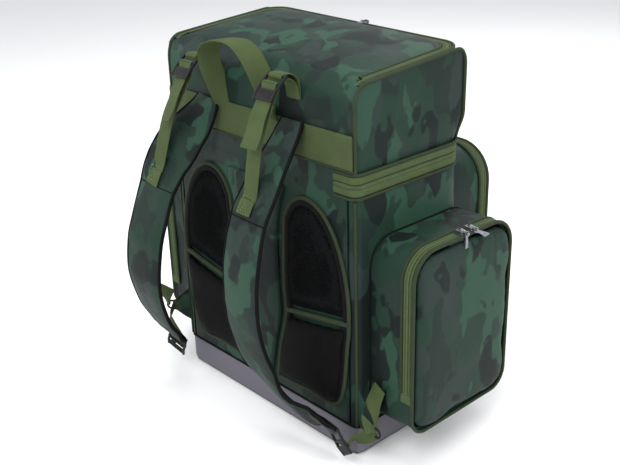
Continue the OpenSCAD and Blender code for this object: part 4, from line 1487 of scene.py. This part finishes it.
def ladder_lock(name, matrix):
    """A ladder-lock buckle that runs down -Z from its top bar; its front, with the ridged tongue, faces -Y."""
    h = Hard()
    for s in (-1, 1):
        for (y0, z0), (y1, z1) in zip(LOCK_SIDE, LOCK_SIDE[1:]):
            a, b = Vector((s * (LOCK_W / 2 - 2), y0, z0)), Vector((s * (LOCK_W / 2 - 2), y1, z1))
            turn = (b - a).to_track_quat("Z", "Y").to_matrix().to_4x4()
            h.block((a + b) / 2, (3.4, 3.8, (b - a).length + 1.8), 1.0, turn)
    for y, z in ((0, 0), LOCK_BAR2):
        h.rod((-LOCK_W / 2 + 3, y, z), (LOCK_W / 2 - 3, y, z), BAR_R)
    (y0, z0), (y1, z1) = LOCK_SIDE[-2], LOCK_SIDE[-1]
    lean = Matrix.Rotation(-math.atan2(y0 - y1, z0 - z1), 4, "X")
    h.block((0, (y0 + y1) / 2, (z0 + z1) / 2), (LOCK_W - 5, 2.2, 15.5), 0.9, lean)
    for k in range(4):
        f = 0.2 + 0.2 * k
        h.block((0, y0 + (y1 - y0) * f - 1.3, z0 + (z1 - z0) * f), (LOCK_W - 10, 1.0, 0.9), 0.35, lean)
    return h.finish(name, PLASTIC, matrix)


LIFT = Vector((91, -HY - 30, 547))     # the right ladder lock's top bar
LIFT_TILT = -30
WEB_CUTS = (397, 470)         # the lifter's webbing is cut at these heights, where what it rides on changes
WEB_SHIFT = 7                 # the webbing is sewn on a little to the left of each strap's middle


def lift_matrix(s):
    return Matrix.Translation((s * LIFT.x, LIFT.y, LIFT.z)) @ Matrix.Rotation(math.radians(LIFT_TILT), 4, "X")


def lifter(side):
    """The adjusting webbing of one strap: its anchor loop, ladder lock, the run down to the strap, the free end."""
    s = 1 if side == "right" else -1
    body = f"upper_buckle_{side}"
    m = lift_matrix(s)

    def at(x, y, z):
        return m @ Vector((x, y, z))
    settle(ladder_lock(f"lifter_lock_{side}", m), body, [f"lifter_buckle_{side}"])
    # anchor: from the box, over the top bar, and back to the box
    c, r = Vector((s * LIFT.x, LIFT.y, LIFT.z)), BAR_R + 1.9
    roll = [c + Vector((0, -math.sin(q), math.cos(q))) * r for q in (math.radians(a) for a in range(0, 191, 19))]
    points = [Vector((c.x, -HY - 1.8, 512)), Vector((c.x, -HY - 2.2, 526)), Vector((c.x, -HY - 4.5, 539)),
              Vector((c.x, -HY - 15, 548.5)), *roll, Vector((c.x, -HY - 18, 543.0)), Vector((c.x, -HY - 8.5, 534)),
              Vector((c.x, -HY - 4.8, 523)), Vector((c.x, -HY - 4.2, 514))]
    o = tape(f"lifter_anchor_{side}", points, WEB_W - 2, 2.0, 3)
    settle(o, "top_compartment", ["lifter_anchors"] if s > 0 else ())
    # run: sewn to the strap's face, up to the lock, round its lower bar and out under the tongue
    face = [p - inward * (STRAP_T / 2 + 1.0) - across * WEB_SHIFT for p, across, inward, _ in STATIONS[side]
            if 362 <= p.z <= 393]
    bar = at(0, *LOCK_BAR2)
    sewn = sorted(face[::2], key=lambda p: p.z)
    end = sewn[-1]
    up = [*sewn, Vector(((end.x + s * LIFT.x) / 2 - 3, (end.y + bar.y) / 2 - 6, (end.z + bar.z) / 2 - 4)),
          at(0, -1.0, -LOCK_LEN - 4), at(0, -1.4, -LOCK_LEN + 12)]
    wrap = [at(0, LOCK_BAR2[0] + math.cos(q) * 3.4, LOCK_BAR2[1] + math.sin(q) * 3.4) for q in
            (math.radians(a) for a in (-12, 25, 60, 95, 130, 165))]
    stations = band_stations(up + wrap, 4)
    low, high = [next(k for k, q in enumerate(stations) if q[0].z / MM > z) for z in WEB_CUTS]
    pieces = ((stations[:low + 1], (f"strap_{side}", "pack"), (364, 393)),
              (stations[low:high + 1], ("pack", "top_compartment"), (400, 466)),
              (stations[high:], ("top_compartment", body), (474, 512)))
    for k, (run, bodies, (z0, z1)) in enumerate(pieces):
        o = sweep(f"lifter_web_{side}_{k + 1}", run, tape_profile(WEB_W, 2.3), [WEB])
        settle(o, None, [f"lifter_web_{side}"] if k == 0 else (),
               blend=(*bodies, V(0, 0, z0), V(0, 0, z1)))
    # free end: over the tongue and down, with a folded hem
    sway = s * (3 if s > 0 else -2)
    tail = [at(0, LOCK_BAR2[0] - 3.3, LOCK_BAR2[1] + 0.9), at(0, LOCK_BAR2[0] - 2.0, LOCK_BAR2[1] - 6),
            at(0, -6.4, -LOCK_LEN + 6), at(0, -7.0, -LOCK_LEN - 5), at(sway * 0.4, -8.2, -LOCK_LEN - 26),
            at(sway, -7.0, -LOCK_LEN - 46), at(sway * 1.5, -8.4, -LOCK_LEN - 66)]
    turn = (lambda t: -0.16 * t) if s > 0 else (lambda t: 0.34 * t)
    o = tape(f"lifter_free_end_{side}", tail, WEB_W, 2.1, 4, turn, hem=15)
    settle(o, body, [f"lifter_tail_{side}"])


def grab_handle():
    """A webbing loop whose feet are sewn in behind the band; it stands up and out, with a slight twist."""
    y = -HY
    line = [(-57, y - 1.6, 470), (-59, y - 3.2, 485), (-63, y - 12, 512), (-63, y - 22, 540), (-54, y - 29, 563),
            (-32, y - 32, 576), (-6, y - 32, 581), (18, y - 30, 578), (34, y - 25, 562), (42, y - 17, 536),
            (47, y - 8, 508), (50, y - 3.2, 486), (51, y - 1.6, 470)]
    fine = spline(line, 4)
    stations = []
    for i, (p, t) in enumerate(zip(fine, tangents(fine))):
        share = i / (len(fine) - 1)
        flat = max(0.0, 1 - min(share, 1 - share) / 0.16)          # the feet lie flat on the pack
        across = Vector((0.30, 1, 0)).lerp(Vector((1, 0, 0)) * (1 if share < 0.5 else -1), flat ** 2)
        across = (across - t * across.dot(t)).normalized()
        stations.append((p * MM, across, across.cross(t)))
    o = sweep("grab_handle_webbing", stations, tape_profile(32, 3.0), [WEB])
    settle(o, "handle", ["grab_handle"])


# ---------------------------------------------------------------- lower fixings
def corner_frame(s, turn):
    """At a back corner: x outwards in the tab's own plane, y up, z out of its face; mirrored for the left side."""
    m = Matrix.Translation((HX + 2, -HY + 5, 0)) @ Matrix.Rotation(math.radians(turn), 4, "Z") @ \
        Matrix.Rotation(math.pi / 2, 4, "X")
    return Matrix.Scale(-1, 4, (1, 0, 0)) @ m if s < 0 else m


TABS = {"right": (1, -4, 52, 114, 58), "left": (-1, -42, 70, 136, 100)}
TAB_REACH, RING_R = 30, 9


def corner_tab(side):
    s, turn, z0, z1, tip = TABS[side]
    m = corner_frame(s, turn)
    half = 9.5
    rows, columns = 12, 8
    verts = []
    for layer in (1, -1):
        for r in range(rows + 1):
            v = r / rows
            for c in range(columns + 1):
                u = c / columns
                x = -3 + (TAB_REACH - 1) * u
                y = (z0 + (z1 - z0) * v) * (1 - u) + (tip - half + 2 * half * v) * u
                puffed = 1.9 * (1 - abs(2 * v - 1) ** 4) ** 0.5 + 0.7
                wave = 1.6 * math.sin(u * 3.0 + v * 2.2) + 0.8 * noise.noise(Vector((x / 14, y / 14, s * 3)))
                verts.append((m @ Vector((x, y, layer * puffed * 0.8 + wave))) * MM)
    n = (rows + 1) * (columns + 1)
    faces = grid_faces(rows + 1, columns + 1)
    faces += [tuple(n + i for i in reversed(f)) for f in grid_faces(rows + 1, columns + 1)]
    border = list(range(columns)) + [r * (columns + 1) + columns for r in range(rows)]
    border += [rows * (columns + 1) + columns - c for c in range(columns)]
    border += [(rows - r) * (columns + 1) for r in range(rows)]
    faces += [(a, n + a, n + b, b) for a, b in zip(border, border[1:] + border[:1])]
    o = piece(f"corner_tab_{side}_cloth", verts, faces, [CAMO])
    settle(o, "pack", ["corner_tabs"] if s > 0 else ())
    # a loop of webbing at the tab's tip holds the ring
    x0 = TAB_REACH - 14
    loop = [(x0, tip, 2.6), (TAB_REACH - 6, tip, 3.0), (TAB_REACH - 1.0, tip, 1.8), (TAB_REACH + 0.2, tip, 0),
            (TAB_REACH - 1.0, tip, -1.8), (TAB_REACH - 6, tip, -3.0), (x0, tip, -2.6)]
    line = spline([Vector(p) for p in loop], 2.5)
    a, r3 = Vector((0, 1, 0)), m.to_3x3()
    stations = [((m @ p) * MM, r3 @ a, r3 @ a.cross(t)) for p, t in zip(line, tangents(line))]
    o = sweep(f"tab_loop_{side}", stations, tape_profile(2 * half - 2, 1.6, 5), [WEB])
    settle(o, "pack")
    h = Hard()
    c = Vector((TAB_REACH + RING_R - 6, tip, 0))
    h.tube([c + Vector((math.cos(q), math.sin(q), 0)) * (RING_R - 1.7) for q in
            (2 * math.pi * k / 32 for k in range(32))], 1.7, 10, closed=True)
    o = h.finish(f"tab_ring_{side}", PLASTIC, m)
    settle(o, "pack", ["tab_rings"] if s > 0 else ())
    return m @ c


AIM = {"right": (Vector((175, -137, 52)), Vector((0.66, 0.30, -0.62)).normalized()),
       "left": (Vector((-161, -163, 80)), Vector((-0.52, 0.42, -0.74)).normalized())}


def aim_matrix(p, t):
    a = (Vector((1, 0, 0)) - t * t.x).normalized()
    n = (-t).cross(a)
    return Matrix(((a.x, n.x, -t.x, p.x), (a.y, n.y, -t.y, p.y), (a.z, n.z, -t.z, p.z), (0, 0, 0, 1)))


def lower_fixing(side, ring_centre):
    s = 1 if side == "right" else -1
    end, t = AIM[side]
    origin = end + t * 7
    m = aim_matrix(origin, t)
    settle(ladder_lock(f"strap_lock_{side}", m), f"lower_buckle_{side}", [f"strap_buckle_{side}"])

    def at(x, y, z):
        return m @ Vector((x, y, z))
    # a loop of webbing from inside the strap's end round the lock's first bar
    loop = [at(0, -1.8, 17), at(0, -2.4, 8), at(0, -3.0, 1.5), at(0, -1.2, -3.2), at(0, 1.2, -3.2), at(0, 3.0, 1.5),
            at(0, 2.4, 8), at(0, 1.8, 17)]
    line = spline(loop, 2.5)
    across = m.to_3x3() @ Vector((1, 0, 0))
    stations = [(p * MM, across, across.cross(d)) for p, d in zip(line, tangents(line))]
    o = sweep(f"strap_end_loop_{side}", stations, tape_profile(WEB_W - 1, 1.8), [WEB])
    settle(o, f"strap_{side}")
    # the adjusting webbing: from the lock's second bar to the ring, round it, and on as a free end
    bar = at(0, LOCK_BAR2[0] + 2.5, LOCK_BAR2[1])
    if s > 0:
        mid = [bar, at(0, -1.5, -LOCK_LEN + 6), Vector((203, -122, 38)), Vector((217, -113, 44))]
        tail = [ring_centre + Vector((-4, -5, 1)), Vector((219.5, -105, 73)), Vector((220.5, -101, 90)),
                Vector((224, -98, 107)), Vector((229, -95, 124))]
    else:
        mid = [bar, at(0, -1.5, -LOCK_LEN + 8), Vector((-200, -147, 78)), Vector((-212, -141, 89))]
        tail = [ring_centre + Vector((-2, -2, 4)), ring_centre + Vector((3, -9, 14)), Vector((-212, -150, 128)),
                Vector((-203, -152, 141)), Vector((-196, -151, 152))]
    o = ribbon(f"lower_web_{side}", [*mid, ring_centre + Vector((-4 * s, 1, -1))], across, UP, WEB_W,
               21 if s > 0 else 13)
    settle(o, "pack", ["lower_webs"] if s > 0 else ())
    first = Vector((0.85, 0.5, -0.1)) if s > 0 else Vector((-0.35, 0.3, 0.9))
    last = Vector((0.8, -0.12, 0)) if s > 0 else Vector((-0.75, -0.55, 0.1))
    o = ribbon(f"lower_free_end_{side}", tail, first, last, WEB_W - 2, WEB_W - 2,
               start=17 if s > 0 else 10)
    settle(o, "pack")
    length = sum((b - a).length for a, b in zip(tail, tail[1:])) * MM


def ribbon(name, points, across0, across1, w0, w1, start=None):
    """Webbing whose width turns from one direction to another along its run and goes from w0 to w1; with start
    it opens from that width to w1 over the first third instead."""
    line = spline([Vector(p) for p in points], 3.5)
    stations = []
    n = len(line) - 1
    for i, (p, d) in enumerate(zip(line, tangents(line))):
        k = ease(i / n)
        a = across0.normalized().lerp(across1.normalized(), k)
        a = (a - d * a.dot(d)).normalized()
        w = w0 + (w1 - w0) * k
        if start:
            w = start + (w1 - start) * min(1, i / (n * 0.35))
        stations.append((p * MM, a * w / WEB_W, a.cross(d)))
    return sweep(name, stations, tape_profile(WEB_W, 2.2), [WEB])


# ---------------------------------------------------------------- zip sliders
PULL_LEN = 34


def slider_body(h):
    h.block((-4, 0, 1.2), (14, 11, 2.4), 0.9)
    h.block((-4, 0, 4.0), (13, 9.5, 2.2), 0.9)
    h.block((-4, 0, 2.6), (4, 3, 3), 0.6)
    h.tube([(-7, 0, 4.6), (-6, 0, 6.6), (-3, 0, 7.4), (0.5, 0, 6.4), (2.6, 0, 3.6)], 1.1, 10)
    h.rod((2.4, 0, 2.8), (9.4, 0, 2.8), 1.4)
    h.rod((9.0, 0, 2.8), (10.2, 0, 2.8), 2.6)


def pull_plate(h, turn):
    """A long pull with an eye, a waist and a slotted end, in the CAD pull's frame."""
    stretch = [(-3.4, 2.4), (-2.6, 3.6), (0, 4.0), (3.4, 3.2), (7, 2.4), (14, 2.7), (22, 3.5), (29, 4.0), (32.4, 3.6),
               (PULL_LEN, 2.0)]
    rim = stretch + [(x, -y) for x, y in reversed(stretch)]
    m = turn @ Matrix.Rotation(math.pi / 2, 4, "Y") @ Matrix.Translation((0, 0, 1.0))
    eye = [(1.9 * math.cos(q), 1.9 * math.sin(q)) for q in (-2 * math.pi * (k + 0.5) / len(rim) for k in
                                                          range(len(rim)))]
    start = min(range(len(rim)), key=lambda k: (Vector(rim[k]).normalized() - Vector(eye[0]).normalized()).length)
    rim = rim[start:] + rim[:start]
    if area_of(rim) * area_of(eye) < 0:
        rim = [rim[0]] + rim[1:][::-1]
    h.plate(rim, 2.0, 0.45, eye, m)
    for s in (-1, 1):
        h.block((0, 0, 0), (19, 0.9, 0.7), 0.3, m @ Matrix.Translation((20, s * 2.1, 1.0)))
        h.block((0, 0, 0), (19, 0.9, 0.7), 0.3, m @ Matrix.Translation((20, s * 2.1, -1.0)))


def area_of(loop):
    return sum(a[0] * b[1] - b[0] * a[1] for a, b in zip(loop, loop[1:] + loop[:1]))


def sliders():
    mirror = Matrix.Scale(-1, 4, (1, 0, 0))
    for side, flip in (("right", Matrix.Identity(4)), ("left", mirror)):
        for which, y, tilt in (("rear", 15, 0), ("front", 34, 58)):
            m = flip @ Matrix.Translation((PANEL1[0] - 2, y, SIDE1[2] + 2.5))
            h = Hard()
            slider_body(h)
            settle(h.finish(f"zip_slider_{side}_{which}", METAL, m), f"slider_{side}_{which}",
                   [f"slider_{side}_{which}"])
            h = Hard()
            pull_plate(h, Matrix.Translation((5.6, 0, 2.8)) @ Matrix.Rotation(math.radians(tilt), 4, "X"))
            settle(h.finish(f"zip_pull_{side}_{which}", METAL, m), f"pull_{side}_{which}",
                   [f"pull_{side}_{which}"])
    quarter = Matrix.Rotation(math.pi / 2, 4, "Z")
    singles = (("front_zip_slider", "front_slider", "front_pocket_slider",
                Matrix.Translation((0, FPANEL1[1] - 2, FRONT1[2] + 2.5)) @ quarter),
               ("flap_zip_tab", "flap_zip_slider", "flap_slider",
                TOP_MATRIX @ Matrix.Translation((0, 221.5, 4.5)) @ quarter))
    for name, body, node, m in singles:
        h = Hard()
        slider_body(h)
        pull_plate(h, Matrix.Translation((5.6, 0, 2.8)))
        settle(h.finish(name, METAL, m), body, [node])
    h = Hard()
    for z in (-3.6, 3.6):
        h.block((2.0, 0, z), (3.6, 11, 4.4), 0.9)
    h.block((2.6, 0, 0), (2.6, 4, 9), 0.7)
    h.rod((3.4, 0, 0), (8.4, 0, 0), 1.4)
    h.rod((8.0, 0, 0), (9.2, 0, 0), 2.6)
    pull_plate(h, Matrix.Translation((5.1, 0, 0)))
    m = Matrix.Translation((-HX - 1.3, 24, SEAM)) @ Matrix.Rotation(math.pi, 4, "Z")
    settle(h.finish("main_zip_tab", METAL, m), "main_slider", ["main_zip_slider"])


# ---------------------------------------------------------------- stitching
def stitching():
    top, face = Thread(), -HY - 3.0
    for z in (BAND0[2] + 3, BAND1[2] - 3):
        top.row((BAND0[0] + 4, face + 0.2, z), (BAND1[0] - 4, face + 0.2, z), OUT)
    for x in (-64, 64, -120, 120, -190, 190):
        for dx in (-1.6, 1.6):
            top.row((x + dx, face + 0.2, BAND0[2] + 4), (x + dx, face + 0.2, BAND1[2] - 4), OUT, pitch=3.4, length=2.4)
    settle(top.make("band_stitching", THREAD), "top_compartment")
    for side in ("left", "right"):
        thread = Thread()
        rows = sorted((q for q in STATIONS[side] if 364 <= q[0].z <= 390), key=lambda q: q[0].z)
        low, high = rows[0], rows[-1]

        def lifted(q, a):
            return q[0] + q[1] * (a - WEB_SHIFT) - q[2] * (STRAP_T / 2 + 2.4)
        n = -low[2]
        corners = [lifted(low, -10), lifted(low, 10), lifted(high, 10), lifted(high, -10)]
        for a, b in zip(corners, corners[1:] + corners[:1]):
            thread.row(a, b, n)
        thread.row(corners[0], corners[2], n)
        thread.row(corners[1], corners[3], n)
        o = thread.make(f"strap_stitching_{side}", THREAD)
        settle(o, None, blend=(f"strap_{side}", "pack", V(0, 0, 364), V(0, 0, 393)))


# ---------------------------------------------------------------- the whole pack
THREAD = zip_tape("thread", (112, 124, 84), (132, 142, 100))
base()
main_walls()
main_zip()
top_cover()
top_frame()
end_panel(1, "right")
end_panel(-1, "left")
top_floor()
band()
flap_zip()
pockets()
back_pads()
STATIONS = {side: shoulder_strap(side) for side in STRAPS}
for SIDE in STRAPS:
    lifter(SIDE)
grab_handle()
for SIDE in TABS:
    lower_fixing(SIDE, corner_tab(SIDE))
sliders()
stitching()


# ---------------------------------------------------------------- studio
def studio():
    bpy.context.scene.view_settings.view_transform = "Standard"
    mesh = bpy.data.meshes.new("floor")
    size = 6.0
    mesh.from_pydata([(-size, -size, 0), (size, -size, 0), (size, size, 0), (-size, size, 0)], [], [(0, 1, 2, 3)])
    floor = bpy.data.objects.new("floor", mesh)
    bpy.context.scene.collection.objects.link(floor)
    s = Shader("floor_paper", rough=0.9, specular=0.2)
    s.colour(s.mix(s.noise(3, 2), (0.89, 0.89, 0.89, 1), (0.92, 0.92, 0.92, 1)))
    mesh.materials.append(s.material)
    world = bpy.context.scene.world or bpy.data.worlds.new("studio")
    bpy.context.scene.world = world
    world.use_nodes = True
    world.node_tree.nodes["Background"].inputs[0].default_value = (0.95, 0.97, 1.0, 1)
    world.node_tree.nodes["Background"].inputs[1].default_value = 0.75
    for name, place, size, power in (("key", (1.0, -1.9, 2.3), 1.4, 46), ("fill", (2.3, 0.3, 1.2), 1.6, 24),
                                     ("left", (-1.9, -1.4, 1.3), 1.4, 20), ("back", (-0.6, 2.2, 2.0), 1.6, 22),
                                     ("top", (0.1, -0.1, 2.9), 1.6, 34)):
        data = bpy.data.lights.new(name, "AREA")
        data.size, data.energy = size, power
        o = bpy.data.objects.new(name, data)
        bpy.context.scene.collection.objects.link(o)
        o.location = place
        o.rotation_euler = (Vector((0, 0, 0.3)) - Vector(place)).to_track_quat("-Z", "Y").to_euler()


def camera():
    """The photograph's viewpoint."""
    azimuth, elevation, roll = math.radians(48.1), math.radians(23.0), math.radians(1.7)
    right = Vector((math.cos(azimuth), math.sin(azimuth), 0))
    back = Vector((math.sin(azimuth) * math.cos(elevation), -math.cos(azimuth) * math.cos(elevation),
                   math.sin(elevation)))
    up = back.cross(right)
    x = right * math.cos(roll) - up * math.sin(roll)
    y = right * math.sin(roll) + up * math.cos(roll)
    target = Vector((0, 0, 0.280)) - right * 0.0074 - up * 0.0178
    data = bpy.data.cameras.new("camera")
    data.lens, data.sensor_width = 54.48, 36
    o = bpy.data.objects.new("camera", data)
    bpy.context.scene.collection.objects.link(o)
    o.matrix_world = Matrix.Translation(target + back * 1.4493) @ Matrix((x, y, back)).transposed().to_4x4()
    bpy.context.scene.camera = o


studio()
camera()
